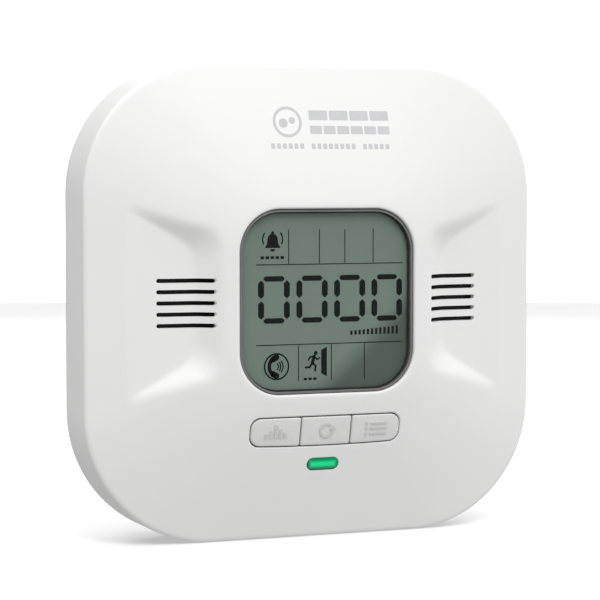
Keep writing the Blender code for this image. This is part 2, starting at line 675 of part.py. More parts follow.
def make_rear_cover():
    plastic = finish("white_rear_moulding", (0.76, 0.76, 0.75), 0.5)
    flange = WALL_DEPTH - 2 * MM
    rings = [back_ring(0, flange), back_ring(0, WALL_DEPTH), back_ring(1.5 * MM, WALL_DEPTH),
             back_ring(PLATEAU_INSET - 0.8 * MM, PLATEAU - 0.8 * MM),
             back_ring(PLATEAU_INSET, PLATEAU)]
    cover = loft("rear_cover", rings, plastic)
    inside = PLATEAU - SHELL
    cut(cover, loft("cavity", [back_ring(2.5 * MM, flange - MM), back_ring(2.5 * MM, WALL_DEPTH - MM),
                               back_ring(PLATEAU_INSET + 1.5 * MM, inside)]))
    outer = TRAY_HALF + TRAY_WALL
    join(cover, box("tray", (-outer, outer), (TRAY_FLOOR - 1.2 * MM, PLATEAU - 0.5 * MM),
                    (TRAY_LOW - TRAY_WALL, TRAY_HIGH + TRAY_WALL)))
    cut(cover, box("pocket", (-TRAY_HALF, TRAY_HALF), (TRAY_FLOOR, PLATEAU + MM),
                   (TRAY_LOW, TRAY_HIGH)))
    side, seat = DOOR_HALF + GAP, PLATEAU - DOOR_THICK - GAP
    cut(cover, box("door_seat", (-side, side), (seat, PLATEAU + MM),
                   (HINGE_Z - 1.3 * MM, DOOR_HIGH + GAP)))
    for end in (-1, 1):
        x = sorted((end * (side - MM), end * (side + PIN_LONG)))
        cut(cover, pin("pin_hole", x, PIN_RADIUS + GAP))
    cut(cover, prism("thumb_notch", circle(0, DOOR_HIGH + 1.5 * MM, 6 * MM), seat + 0.4 * MM,
                     PLATEAU + MM))
    for x, z in CASE_SCREWS:
        join(cover, turned("post", x, z, [(3.9 * MM, 8.6 * MM), (3.9 * MM, PLATEAU - 0.5 * MM)]))
        cut(cover, turned("well", x, z, [(2.9 * MM, 11 * MM), (2.9 * MM, PLATEAU + MM)]))
        cut(cover, turned("hole", x, z, [(1.6 * MM, 8 * MM), (1.6 * MM, 12 * MM)], count=12))
    for x, z in HOOKS:
        narrow, wide = HOOK_STEM / 2 + GAP, HOOK_HEAD / 2 + GAP
        cut(cover, box("keyhole", (x - narrow, x + narrow), (inside - MM, PLATEAU + MM),
                       (z - UNHOOK - 2 * MM, z + HOOK_STEM / 2 + GAP)))
        cut(cover, box("keyhole", (x - wide, x + wide), (inside - MM, PLATEAU + MM),
                       (z - UNHOOK - 3.2 * MM, z - UNHOOK + 3.2 * MM)))


def pin(name, x, radius, material=None):
    """A round bar on the door's hinge axis."""
    rings = []
    for px in x:
        rings.append([(px, deep(HINGE_DEPTH) + radius * math.cos(2 * math.pi * k / 16),
                       HINGE_Z + radius * math.sin(2 * math.pi * k / 16)) for k in range(16)])
    return loft(name, rings, material)


def make_battery_door():
    plastic = finish("white_door", (0.76, 0.76, 0.75), 0.5)
    half = DOOR_THICK / 2
    door = pin("battery_door", (-DOOR_HALF, DOOR_HALF), half, plastic)
    join(door, box("panel", (-DOOR_HALF, DOOR_HALF), (PLATEAU - DOOR_THICK, PLATEAU),
                   (HINGE_Z, DOOR_HIGH)))
    reach = DOOR_HALF + PIN_LONG - GAP
    join(door, pin("pins", (-reach, reach), PIN_RADIUS))
    for k in range(4):
        z = DOOR_HIGH - (4 + 1.8 * k) * MM
        width = (7 - k) * MM
        cut(door, box("grip", (-width, width), (PLATEAU - 0.5 * MM, PLATEAU + MM),
                      (z - 0.45 * MM, z + 0.45 * MM)))
    put_origin(door, (0, deep(HINGE_DEPTH), HINGE_Z))


def make_wall_bracket():
    plastic = finish("white_bracket", (0.74, 0.74, 0.73), 0.55)
    front = PLATEAU + GAP
    points = outline(BRACKET_HALF, BRACKET_LOW, BRACKET_HIGH, 5 * MM)
    bracket = prism("wall_bracket", points, front, BRACKET_BACK, plastic)
    for x, z in HOOKS:
        stem = HOOK_STEM / 2
        join(bracket, box("stem", (x - stem, x + stem), (PLATEAU - SHELL - 1.2 * MM, front + MM),
                          (z - stem, z + stem)))
        head = HOOK_HEAD / 2
        join(bracket, box("head", (x - head, x + head),
                          (PLATEAU - SHELL - 2 * MM, PLATEAU - SHELL - GAP),
                          (z - stem - 0.5 * MM, z + stem)))
    middle = (BRACKET_LOW + BRACKET_HIGH) / 2
    for side in (-1, 1):
        x = side * 12.5 * MM
        cut(bracket, box("screw_slot", (x - SCREW_SLOT, x + SCREW_SLOT), (PLATEAU, BRACKET_BACK + MM),
                         (middle - 5 * MM, middle + 5 * MM)))
    cut(bracket, prism("centre_hole", circle(0, middle, 4.5 * MM, 24), PLATEAU, BRACKET_BACK + MM))
    put_origin(bracket, (0, deep(BRACKET_BACK), middle))


def main():
    for obj in list(bpy.data.objects):
        bpy.data.objects.remove(obj)
    make_front_cover()
    make_lens()
    make_lens_gasket()
    make_display()
    make_buttons()
    make_status_light()
    make_board()
    make_components()
    make_sensor()
    make_sounder()
    make_vent_screens()
    make_wires()
    make_cells()
    make_contacts()
    make_rear_cover()
    make_battery_door()
    make_wall_bracket()
    make_screws()


main()
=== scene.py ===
"""Looks of a battery carbon monoxide alarm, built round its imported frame.

Units are metres, +Z is up and the face looks along -Y. Depths are from the rim plane, where the
domed face meets the side wall: minus is towards the face.
"""
import math

import bmesh
import bpy
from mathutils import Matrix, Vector


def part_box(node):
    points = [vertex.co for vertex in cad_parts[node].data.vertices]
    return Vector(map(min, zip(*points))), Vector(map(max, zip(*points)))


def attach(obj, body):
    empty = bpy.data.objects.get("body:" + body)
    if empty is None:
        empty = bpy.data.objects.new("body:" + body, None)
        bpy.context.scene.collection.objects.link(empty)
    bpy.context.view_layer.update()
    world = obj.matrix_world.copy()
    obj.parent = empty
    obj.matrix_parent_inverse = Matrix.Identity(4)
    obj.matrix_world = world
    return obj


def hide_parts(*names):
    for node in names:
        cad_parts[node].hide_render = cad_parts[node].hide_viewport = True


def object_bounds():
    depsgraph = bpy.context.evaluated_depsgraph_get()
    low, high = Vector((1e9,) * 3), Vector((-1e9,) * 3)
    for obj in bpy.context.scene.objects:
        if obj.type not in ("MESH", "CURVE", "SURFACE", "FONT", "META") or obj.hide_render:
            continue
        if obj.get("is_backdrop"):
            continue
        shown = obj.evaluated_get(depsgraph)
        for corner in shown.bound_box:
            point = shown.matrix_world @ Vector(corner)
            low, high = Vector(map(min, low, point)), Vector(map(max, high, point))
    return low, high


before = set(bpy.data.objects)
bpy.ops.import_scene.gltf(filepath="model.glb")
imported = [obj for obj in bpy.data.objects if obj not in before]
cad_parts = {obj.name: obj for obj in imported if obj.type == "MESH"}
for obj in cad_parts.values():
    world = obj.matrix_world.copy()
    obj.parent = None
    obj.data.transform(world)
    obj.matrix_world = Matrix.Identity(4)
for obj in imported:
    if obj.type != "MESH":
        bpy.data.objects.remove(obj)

CAD_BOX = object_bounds()
MM = 0.001
GAP = 0.3 * MM                      # clearance between neighbouring pieces
FINE_GAP = 0.12 * MM                # clearance where a close fit shows

# Case, from the frame's boxes
CASE_LOW, CASE_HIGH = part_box("front_cover")
WIDTH = CASE_HIGH[0] - CASE_LOW[0]
HEIGHT = CASE_HIGH[2] - CASE_LOW[2]
WALL_DEPTH = 15.5 * MM
RIM_Y = CASE_HIGH[1] - WALL_DEPTH
CREST = RIM_Y - CASE_LOW[1]
CORNER = 32.5 * MM
DRAFT = 0.4 * MM
BULGE = 1.15                        # 1 is a straight slope from the window to the rim
EDGE = 1.2 * MM
LIP = 0.5 * MM                      # rounding of the face round the window
WINDOW_MARGIN = 0.8 * MM
SHELL = 2.0 * MM
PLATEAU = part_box("rear_cover")[1][1] - RIM_Y
BRACKET_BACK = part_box("wall_bracket")[1][1] - RIM_Y
AROUND_SIDE, AROUND_ARC = 64, 28    # points along the sides and round the corners of an outline

# Window and display
LENS_LOW, LENS_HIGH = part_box("lcd_lens")
LENS_HALF = (LENS_HIGH[0] - LENS_LOW[0]) / 2
LENS_HALF_TALL = (LENS_HIGH[2] - LENS_LOW[2]) / 2
LENS_Z = (LENS_HIGH[2] + LENS_LOW[2]) / 2
LENS_RADIUS = 10.5 * MM
LENS_FRONT = LENS_LOW[1] - RIM_Y
LENS_BACK = LENS_HIGH[1] - RIM_Y
WELL_BACK = -7.0 * MM               # back end of the opening that holds the lens
WELL_THIN = 0.5 * MM                # how much thinner the moulding is round the opening
GLASS_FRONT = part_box("lcd_glass")[0][1] - RIM_Y
GLASS_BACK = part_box("lcd_glass")[1][1] - RIM_Y
GLASS_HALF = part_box("lcd_glass")[1][0]

# Vents
SLOT_IN, SLOT_OUT = 28.5 * MM, 42.5 * MM
SLOT_TALL = 1.05 * MM
SLOT_PITCH = 2.73 * MM
SLOT_COUNT = 5
SCOOP_TIP = (49.8 * MM, 23.4 * MM)  # outer tips of the scooped field round the vents
SCOOP_IN, SCOOP_FLOOR = 27.6 * MM, 33.0 * MM
RIDGE_LEAN, VALLEY_LEAN = 0.275, 0.595
RAMP_SLOPE = 0.6

# Buttons and status light
STRIP_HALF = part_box("button_right")[1][0] + GAP
STRIP_LOW, STRIP_HIGH = 23.95 * MM, 31.25 * MM
STRIP_BOW = 0.45 * MM
STRIP_RADIUS = 2.6 * MM
BUTTON_GAP = 0.35 * MM
BUTTON_PROUD = 0.25 * MM
BUTTONS = ("left", "middle", "right")
BUTTON_PITCH = 2 * STRIP_HALF / 3
PIPE_Z = (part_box("light_pipe")[0][2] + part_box("light_pipe")[1][2]) / 2
PIPE_HALF, PIPE_HALF_TALL = 4.1 * MM, 1.45 * MM

# Inside and back
BOARD_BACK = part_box("main_board")[1][1] - RIM_Y
BOARD_SCREWS = [(x * MM, z * MM) for x in (-31, 31) for z in (18, 101)]
CASE_SCREWS = [(x * MM, z * MM) for x in (-43, 43) for z in (24, 95)]
CELL_RADIUS = 7.2 * MM
TRAY_HALF, TRAY_WALL = 29.6 * MM, 3.2 * MM
TRAY_LOW, TRAY_HIGH = 10.9 * MM, 57.1 * MM
TRAY_FLOOR = 6.2 * MM
DOOR_HALF, DOOR_THICK, DOOR_HIGH = 31.6 * MM, 1.7 * MM, 59.0 * MM
HINGE_Z = 10.3 * MM
HINGE_DEPTH = PLATEAU - DOOR_THICK / 2
PIN_RADIUS, PIN_LONG = 0.7 * MM, 1.6 * MM
BRACKET_HALF = 36.0 * MM
BRACKET_LOW, BRACKET_HIGH = 69.0 * MM, 110.0 * MM
BRACKET_Z = (BRACKET_LOW + BRACKET_HIGH) / 2
HOOKS = [(x * MM, z * MM) for x in (-25, 25) for z in (77, 98)]
HOOK_STEM, HOOK_HEAD = 4.0 * MM, 9.0 * MM
SCREW_SLOT = 1.95 * MM
UNHOOK = 8.0 * MM
SOUNDER_X, SOUNDER_Z, SOUNDER_RADIUS = 44.0 * MM, 59.5 * MM, 10.5 * MM

# View
AZIMUTH, ELEVATION = math.radians(21.47), math.radians(3.33)
CAMERA_AIM = Vector((-4.1 * MM, RIM_Y, 59.43 * MM))
CAMERA_DISTANCE = 536.66 * MM
CAMERA_LENS = 129.4

# Light
FLOOR_REACH, WALL_REACH, WALL_HIGH = 4.0, 1.0, 3.0
AMBIENT = 0.44                      # light from every side, and what is added from some sides
SKY_SHARES = (((0, 0, 1), 0.63), ((1, 0, 0), 0.38), ((0, 0, -1), 0.10))
BEHIND, BEHIND_EDGE = 0.45, (0.45, 0.75)     # light from behind, and where it starts along +Y
LAMP_AIM = Vector((0.0, 0.0, 0.06))
LAMPS = (("key", (0.0, -0.6, 0.7), 0.4, 2.5), ("fill", (-0.3, -0.1, 0.5), 0.3, 0.5),
         ("rear", (0.25, 0.6, 0.4), 0.4, 1.0))      # name, place, size and watts
NOISE_RANGE = (0.3, 0.7)            # where most of a noise lies


# ---- materials

def add(tree, kind, out, inputs, **settings):
    """A new node; its inputs are linked to sockets or set to values. Returns one output."""
    node = tree.nodes.new("ShaderNode" + kind)
    for name, value in settings.items():
        setattr(node, name, value)
    for name, value in inputs.items():
        if isinstance(value, bpy.types.NodeSocket):
            tree.links.new(value, node.inputs[name])
        else:
            node.inputs[name].default_value = value
    return node.outputs[out]


def calc(tree, operation, *values):
    return add(tree, "Math", "Value", dict(enumerate(values)), operation=operation)


def noise(tree, place, size, detail=3.0):
    return add(tree, "TexNoise", "Fac", {"Scale": 1 / size, "Detail": detail, "Vector": place})


def finish(name, colour, roughness, metallic=0.0, mottle=0.02, patch=14, spread=0.04,
           grain=0.25, relief=0.004, **sockets):
    """A Principled finish whose tone and gloss drift over patches, with a fine moulded grain.

    Patch, grain and relief are in millimetres.
    """
    patch, grain, relief = patch * MM, grain * MM, relief * MM
    material = bpy.data.materials.new(name)
    material.use_nodes = True
    tree = material.node_tree
    shader = tree.nodes["Principled BSDF"]
    place = tree.nodes.new("ShaderNodeTexCoord").outputs["Object"]
    tone = tree.nodes.new("ShaderNodeValToRGB")
    for stop, at, change in zip(tone.color_ramp.elements, NOISE_RANGE, (1 - mottle, 1 + mottle)):
        stop.position = at
        stop.color = (*(min(c * change, 1.0) for c in colour), 1)
    tree.links.new(noise(tree, place, patch), tone.inputs["Fac"])
    tree.links.new(tone.outputs["Color"], shader.inputs["Base Color"])
    gloss = add(tree, "MapRange", "Result",
                {"Value": noise(tree, place, patch / 3, 5.0), "From Min": NOISE_RANGE[0],
                 "From Max": NOISE_RANGE[1], "To Min": roughness - spread,
                 "To Max": roughness + spread})
    tree.links.new(gloss, shader.inputs["Roughness"])
    bump = add(tree, "Bump", "Normal", {"Distance": relief, "Height": noise(tree, place, grain, 2.0)})
    tree.links.new(bump, shader.inputs["Normal"])
    shader.inputs["Metallic"].default_value = metallic
    for socket, value in sockets.items():
        shader.inputs[socket.replace("_", " ")].default_value = value
    return material


def opened(material):
    """What a recipe needs to put its own pattern over a finish: tree, shader, place and tone."""
    tree = material.node_tree
    shader = tree.nodes["Principled BSDF"]
    place = next(n for n in tree.nodes if n.type == "TEX_COORD").outputs["Object"]
    return tree, shader, place, shader.inputs["Base Color"].links[0].from_socket


def along(tree, place, direction):
    """How far a point lies along a direction."""
    return add(tree, "VectorMath", "Value", {0: place, 1: direction}, operation="DOT_PRODUCT")


def between(tree, value, start, end):
    """0 below start, 1 above end, with a smooth change between them."""
    return add(tree, "MapRange", "Result", {"From Min": start, "From Max": end, "Value": value},
               interpolation_type="SMOOTHSTEP")


def mixed(tree, factor, a, b):
    """A colour between a and b, which are sockets or colours."""
    a, b = ((*c, 1) if isinstance(c, tuple) else c for c in (a, b))
    return add(tree, "Mix", 2, {0: factor, 6: a, 7: b}, data_type="RGBA")


def paint(material, factor, a, b):
    """Gives a finish the colour between a and b."""
    tree = material.node_tree
    tree.links.new(mixed(tree, factor, a, b), tree.nodes["Principled BSDF"].inputs["Base Color"])
    return material


def white_plastic(name, level=0.86, roughness=0.42):
    return finish(name, (level, level, level * 0.995), roughness, mottle=0.006, spread=0.03,
                  relief=0.0015, Specular_IOR_Level=0.45)


def display_glass():
    """Grey-green polariser, with a painted reflection that makes it darker towards its lower right."""
    material = finish("display_polariser", (0.255, 0.335, 0.288), 0.3, mottle=0.015, spread=0.02,
                      grain=0.12, relief=0.0008, Specular_IOR_Level=0.2)
    tree, _, place, tone = opened(material)
    # painted reflection: the polariser's colour turns darker towards its lower right
    dark = between(tree, along(tree, place, (0.68, 0.0, -0.73)), -31 * MM, -24.5 * MM)
    return paint(material, dark, tone, (0.135, 0.172, 0.150))


def light_green():
    """A lit light pipe, brighter in its middle."""
    material = finish("light_green", (0.002, 0.50, 0.20), 0.3, mottle=0.05, patch=2,
                      grain=0.2, relief=0.002, Emission_Strength=0.3,
                      Specular_IOR_Level=0.2)
    tree, shader, place, tone = opened(material)
    wide = calc(tree, "SUBTRACT", calc(tree, "ABSOLUTE", along(tree, place, (1, 0, 0))),
                PIPE_HALF - PIPE_HALF_TALL)
    tall = calc(tree, "ABSOLUTE", calc(tree, "SUBTRACT", along(tree, place, (0, 0, 1)), PIPE_Z))
    glow = between(tree, calc(tree, "MAXIMUM", tall, wide), 0.1 * MM, 1.3 * MM)
    light = mixed(tree, glow, (0.03, 1.0, 0.40), (0.0, 0.15, 0.06))
    tree.links.new(light, shader.inputs["Emission Color"])
    return paint(material, glow, tone, (0.001, 0.20, 0.08))


def clear_lens():
    return finish("clear_acrylic", (0.02, 0.025, 0.022), 0.05, mottle=0.01, spread=0.01,
                  grain=3, relief=0.0005, Alpha=0.10, Specular_IOR_Level=0.5)


def cell_jacket(name, side):
    """Printed jacket of a cell: graphite, with a copper band at its positive end."""
    material = finish(name, (0.035, 0.036, 0.040), 0.28, mottle=0.08, patch=6,
                      relief=0.0015, Coat_Weight=0.4)
    tree, _, place, tone = opened(material)
    reach = along(tree, place, (side, 0, 0))
    copper, line, gap = (between(tree, reach, at * MM, (at + 0.1) * MM) for at in (12.0, 10.6, 11.2))
    colour = mixed(tree, copper, tone, (0.62, 0.27, 0.10))
    stripe = calc(tree, "SUBTRACT", line, gap)
    return paint(material, stripe, colour, (0.7, 0.7, 0.7))


def brushed(name, colour, roughness):
    """Bright metal with fine drawn lines."""
    return finish(name, colour, roughness, 1.0, mottle=0.05, patch=3, spread=0.06,
                  grain=0.08, relief=0.002)


def laminate():
    """Green board with copper tracks under the lacquer, and tinned pads."""
    material = finish("board_laminate", (0.012, 0.10, 0.035), 0.35, mottle=0.12, patch=5,
                      relief=0.003, Coat_Weight=0.3)
    tree, _, place, tone = opened(material)
    flat = add(tree, "Mapping", "Vector", {"Vector": place, "Rotation": (math.pi / 2, 0, 0)})
    tracks = add(tree, "TexBrick", "Fac", {"Vector": flat, "Scale": 1 / (9 * MM), "Row Height": 0.22,
                                           "Mortar Size": 0.035, "Brick Width": 0.9})
    colour = mixed(tree, tracks, tone, (0.03, 0.22, 0.07))
    pads = add(tree, "TexVoronoi", "Distance", {"Scale": 1 / (5 * MM), "Vector": place})
    spot = between(tree, pads, 0.09, 0.13)
    return paint(material, spot, (0.62, 0.60, 0.55), colour)


def woven_screen():
    """Fine black dust mesh."""
    material = finish("dust_mesh", (0.012, 0.012, 0.013), 0.7, mottle=0.1, relief=0.05)
    tree, _, place, _ = opened(material)
    weave = add(tree, "TexWave", "Fac", {"Scale": 1 / (0.9 * MM), "Vector": place})
    bump = next(n for n in tree.nodes if n.type == "BUMP")
    tree.links.new(weave, bump.inputs["Height"])
    return material


# ---- shapes

def deep(depth):
    """World y of a depth from the rim plane."""
    return RIM_Y + depth


def arc(count, start=0.0, end=90.0):
    """Angles in radians from start to end in degrees."""
    return [math.radians(start + (end - start) * k / count) for k in range(count + 1)]


def sweep(x, z, radius, start, end, count, tall=None):
    """Points (x, z) on an arc between two angles in degrees; tall is its radius along z."""
    return [(x + radius * math.cos(a), z + (tall or radius) * math.sin(a))
            for a in arc(count, start, end)]


def circle(x, z, radius, count=32):
    return sweep(x, z, radius, 0, 360, count)[:-1]


def fillet(size, count, start=0.0, end=90.0):
    """Pairs of distances from the two sides of a corner, along its rounding."""
    return [(size * (1 - math.sin(a)), size * (1 - math.cos(a))) for a in arc(count, start, end)]


def outline(half, low, high, radius, side=AROUND_SIDE, turn=AROUND_ARC):
    """Points (x, z) round a rounded rectangle, the same number for every size."""
    cx, cz, middle = half - radius, (high - low) / 2 - radius, (low + high) / 2
    corners = [sweep(sx * cx, middle + sz * cz, radius, 90 * quarter, 90 * (quarter + 1), turn)
               for quarter, (sx, sz) in enumerate(((1, 1), (-1, 1), (-1, -1), (1, -1)))]
    points = []
    for corner, after in zip(corners, corners[1:] + corners[:1]):
        start, end = Vector(corner[-1]), Vector(after[0])
        points += corner + [tuple(start.lerp(end, k / side)) for k in range(1, side)]
    return points


def skin(bm, rings, closed=False):
    """Skins rings of points; the ends are capped, or joined when it is closed."""
    rows = [[bm.verts.new(p) for p in ring] for ring in rings]
    count = len(rows[0])
    pairs = list(zip(rows, rows[1:]))
    if closed:
        pairs.append((rows[-1], rows[0]))
    for a, b in pairs:
        for k in range(count):
            n = (k + 1) % count
            bm.faces.new((a[k], a[n], b[n], b[k]))
    if not closed:
        bm.faces.new(rows[0])
        bm.faces.new(rows[-1][::-1])


def shade(mesh, angle=32):
    mesh.shade_smooth()
    mesh.set_sharp_from_angle(angle=math.radians(angle))


def as_object(name, bm, material=None):
    bmesh.ops.recalc_face_normals(bm, faces=bm.faces)
    mesh = bpy.data.meshes.new(name)
    bm.to_mesh(mesh)
    bm.free()
    obj = bpy.data.objects.new(name, mesh)
    bpy.context.scene.collection.objects.link(obj)
    if material:
        mesh.materials.append(material)
    shade(mesh)
    return obj


def solid(name, rings, material=None, closed=False):
    bm = bmesh.new()
    skin(bm, rings, closed)
    return as_object(name, bm, material)


def piece(obj, body="alarm", stands_for=()):
    """Attaches a finished piece to its body and hides the frame nodes that it stands for."""
    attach(obj, body)
    if stands_for:
        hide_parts(*stands_for)
    return obj


def combine(obj, others, operation):
    """Applies a Boolean with other objects in turn, which are used up."""
    for other in others:
        modifier = obj.modifiers.new("cut", "BOOLEAN")
        modifier.operation = operation
        modifier.solver = "EXACT"
        modifier.object = other
    graph = bpy.context.evaluated_depsgraph_get()
    mesh = bpy.data.meshes.new_from_object(obj.evaluated_get(graph))
    obj.modifiers.clear()
    old = obj.data
    obj.data = mesh
    bpy.data.meshes.remove(old)
    mesh.name = obj.name
    for other in others:
        bpy.data.objects.remove(other)
    shade(mesh)


def cut(obj, *others):
    combine(obj, others, "DIFFERENCE")


def join(obj, *others):
    combine(obj, others, "UNION")


def at_depth(points, depth):
    """A ring of points (x, z) at one depth, or at the depth that a function gives."""
    if callable(depth):
        return [(x, deep(depth(x, z)), z) for x, z in points]
    return [(x, deep(depth), z) for x, z in points]


def turned(name, x, z, profile, material=None, count=32):
    """A solid turned about an axis along Y, from (radius, depth) pairs, front to back."""
    return solid(name, [at_depth(circle(x, z, r, count), d) for r, d in profile], material)


def studs(places, *profile):
    """The same turned solid at several places."""
    return [turned("stud", x, z, profile) for x, z in places]


def block(name, x, depth, z, material=None):
    """A box given by its ranges in x, depth and z."""
    points = [(x[0], z[0]), (x[1], z[0]), (x[1], z[1]), (x[0], z[1])]
    return solid(name, [at_depth(points, d) for d in depth], material)


def opening(name, shape, surface, bottom, radius, outward=-1, steps=5):
    """A cutter whose mouth flares with a rounded edge into a surface.

    shape(grow) gives the outline, surface(x, z) the depth of the surface, and outward is the
    side it is cut from: -1 from the face, 1 from the back.
    """
    rings = [at_depth(shape(radius), lambda x, z: surface(x, z) + outward * 1.5 * MM)]
    for grow, sink in fillet(radius, steps):
        rings.append(at_depth(shape(grow), lambda x, z: surface(x, z) - outward * (sink + 0.01 * MM)))
    rings.append(at_depth(shape(0.0), bottom))
    return solid(name, rings)


def bend(a, b, c, count):
    """Points along a quadratic curve from a to c, b being its corner."""
    for k in range(count + 1):
        t = k / count
        yield tuple(p * (1 - t) ** 2 + 2 * q * t * (1 - t) + r * t * t for p, q, r in zip(a, b, c))


# ---- the face

def smooth(t):
    t = min(max(t, 0.0), 1.0)
    return t * t * (3 - 2 * t)


def soft_least(a, b, blend):
    """The lesser of two values, with a rounded change from one to the other."""
    h = max(blend - abs(a - b), 0.0) / blend
    return min(a, b) - h * h * blend / 4


def filleted(t, blend=0.2):
    """A straight rise from 0 to 1, rounded at its foot and its top."""
    return soft_least(-soft_least(-t, 0.0, blend), 1.0, blend)


def scoop(x, z):
    """How far the field round the vents lies below the dome.

    Its floor is flatter than the dome and meets it at the two outer tips. A ramp leads up from
    the floor to a ridge, which runs from each tip to the inner side.
    """
    x, v = abs(x), abs(z - LENS_Z)
    ridge = SCOOP_TIP[1] + RIDGE_LEAN * (x - SCOOP_TIP[0])
    valley = SCOOP_TIP[1] + VALLEY_LEAN * (x - SCOOP_TIP[0])
    fall = ridge - valley
    if fall <= 0:
        return 0.0
    across = (ridge - v) / fall
    inner = (x - SCOOP_IN) / (SCOOP_FLOOR - SCOOP_IN)
    return RAMP_SLOPE * fall * filleted(soft_least(across, inner, 0.7))


def dome_outline(s):
    """Outline of the face at s: 0 is round the window, 1 is the rim."""
    tall = LENS_HALF_TALL + WINDOW_MARGIN
    inner = (LENS_HALF + WINDOW_MARGIN, LENS_Z - tall, LENS_Z + tall, LENS_RADIUS + WINDOW_MARGIN)
    outer = (WIDTH / 2 - DRAFT - EDGE, EDGE, HEIGHT - DRAFT - EDGE, CORNER - EDGE)
    return [a + (b - a) * s for a, b in zip(inner, outer)]


def dome_ring(s, under=0.0):
    height = CREST * (1 - s ** BULGE)
    return at_depth(outline(*dome_outline(s)), lambda x, z: scoop(x, z) + under - height)


def inner_ring(s):
    """One ring of the inner side of the face, where the moulding is thinner near the window."""
    return dome_ring(s, SHELL - WELL_THIN * (1 - smooth(4 * s)))


def face_depth(x, z):
    """Depth of the face at a point beside the window, from the nested outlines."""
    inner, rim = dome_outline(0), dome_outline(1)
    low, high = 0.0, 1.0
    while high - low > 0.0005:
        s = (low + high) / 2
        half, bottom, top, radius = [a + (b - a) * s for a, b in zip(inner, rim)]
        dx = abs(x) - (half - radius)
        dz = abs(z - (bottom + top) / 2) - ((top - bottom) / 2 - radius)
        outside = math.hypot(max(dx, 0), max(dz, 0)) + min(max(dx, dz), 0) - radius
        if outside > 0:
            low = s
        else:
            high = s
    return scoop(x, z) - CREST * (1 - high ** BULGE)


def lens_ring(grow, depth):
    return at_depth(outline(LENS_HALF + grow, LENS_Z - LENS_HALF_TALL - grow,
                            LENS_Z + LENS_HALF_TALL + grow, LENS_RADIUS + grow), depth)


def case_ring(inset, depth, draft=0.0):
    """Ring of the side wall: the sides and the top lean in by draft, the bottom is flat."""
    return at_depth(outline(WIDTH / 2 - draft - inset, inset, HEIGHT - draft - inset,
                            CORNER - inset), depth)


def slot_shape(side, z):
    """Outline of a vent slot with round ends, as a function of how much it is grown."""
    def shape(grow):
        r = SLOT_TALL / 2 + grow
        points = []
        for end, a0 in ((SLOT_OUT - SLOT_TALL / 2, -90), (SLOT_IN + SLOT_TALL / 2, 90)):
            points += [(side * (end + r * math.cos(a)), z + r * math.sin(a))
                       for a in arc(8, a0, a0 + 180)]
        return points
    return shape


def strip_shape(x0, x1, turn=10):
    """Outline of the button strip between x0 and x1; only its own two ends are rounded."""
    def shape(grow, rise=0.0):
        left, right = x0 - grow, x1 + grow

        def low(x):
            return STRIP_LOW - STRIP_BOW * (1 - (x / STRIP_HALF) ** 2) - grow - rise
        high = STRIP_HIGH + grow + rise
        ends = []
        for side, x in ((-1, left), (1, right)):
            r = STRIP_RADIUS + grow if abs(x) > STRIP_HALF - 1 * MM else 0.45 * MM
            cx = x - side * r
            lower = [(cx + side * r * math.sin(a), low(cx) + r - r * math.cos(a))
                     for a in arc(turn)]
            upper = [(cx + side * r * math.cos(a), high - r + r * math.sin(a))
                     for a in arc(turn)]
            ends.append(lower + upper if side > 0 else (lower + upper)[::-1])
        first, last = ends[0][-1][0], ends[1][0][0]
        between_x = [first + (last - first) * k / 12 for k in range(1, 12)]
        return (ends[0] + [(x, low(x)) for x in between_x] + ends[1]
                + [(x, high) for x in between_x[::-1]])
    return shape


def pill(grow=0.0, turn=12):
    """Outline of the status light."""
    r = PIPE_HALF_TALL + grow
    points = []
    for side, a0 in ((1, -90), (-1, 90)):
        cx = side * (PIPE_HALF - PIPE_HALF_TALL)
        points += sweep(cx, PIPE_Z, r, a0, a0 + 180, turn)
    return points


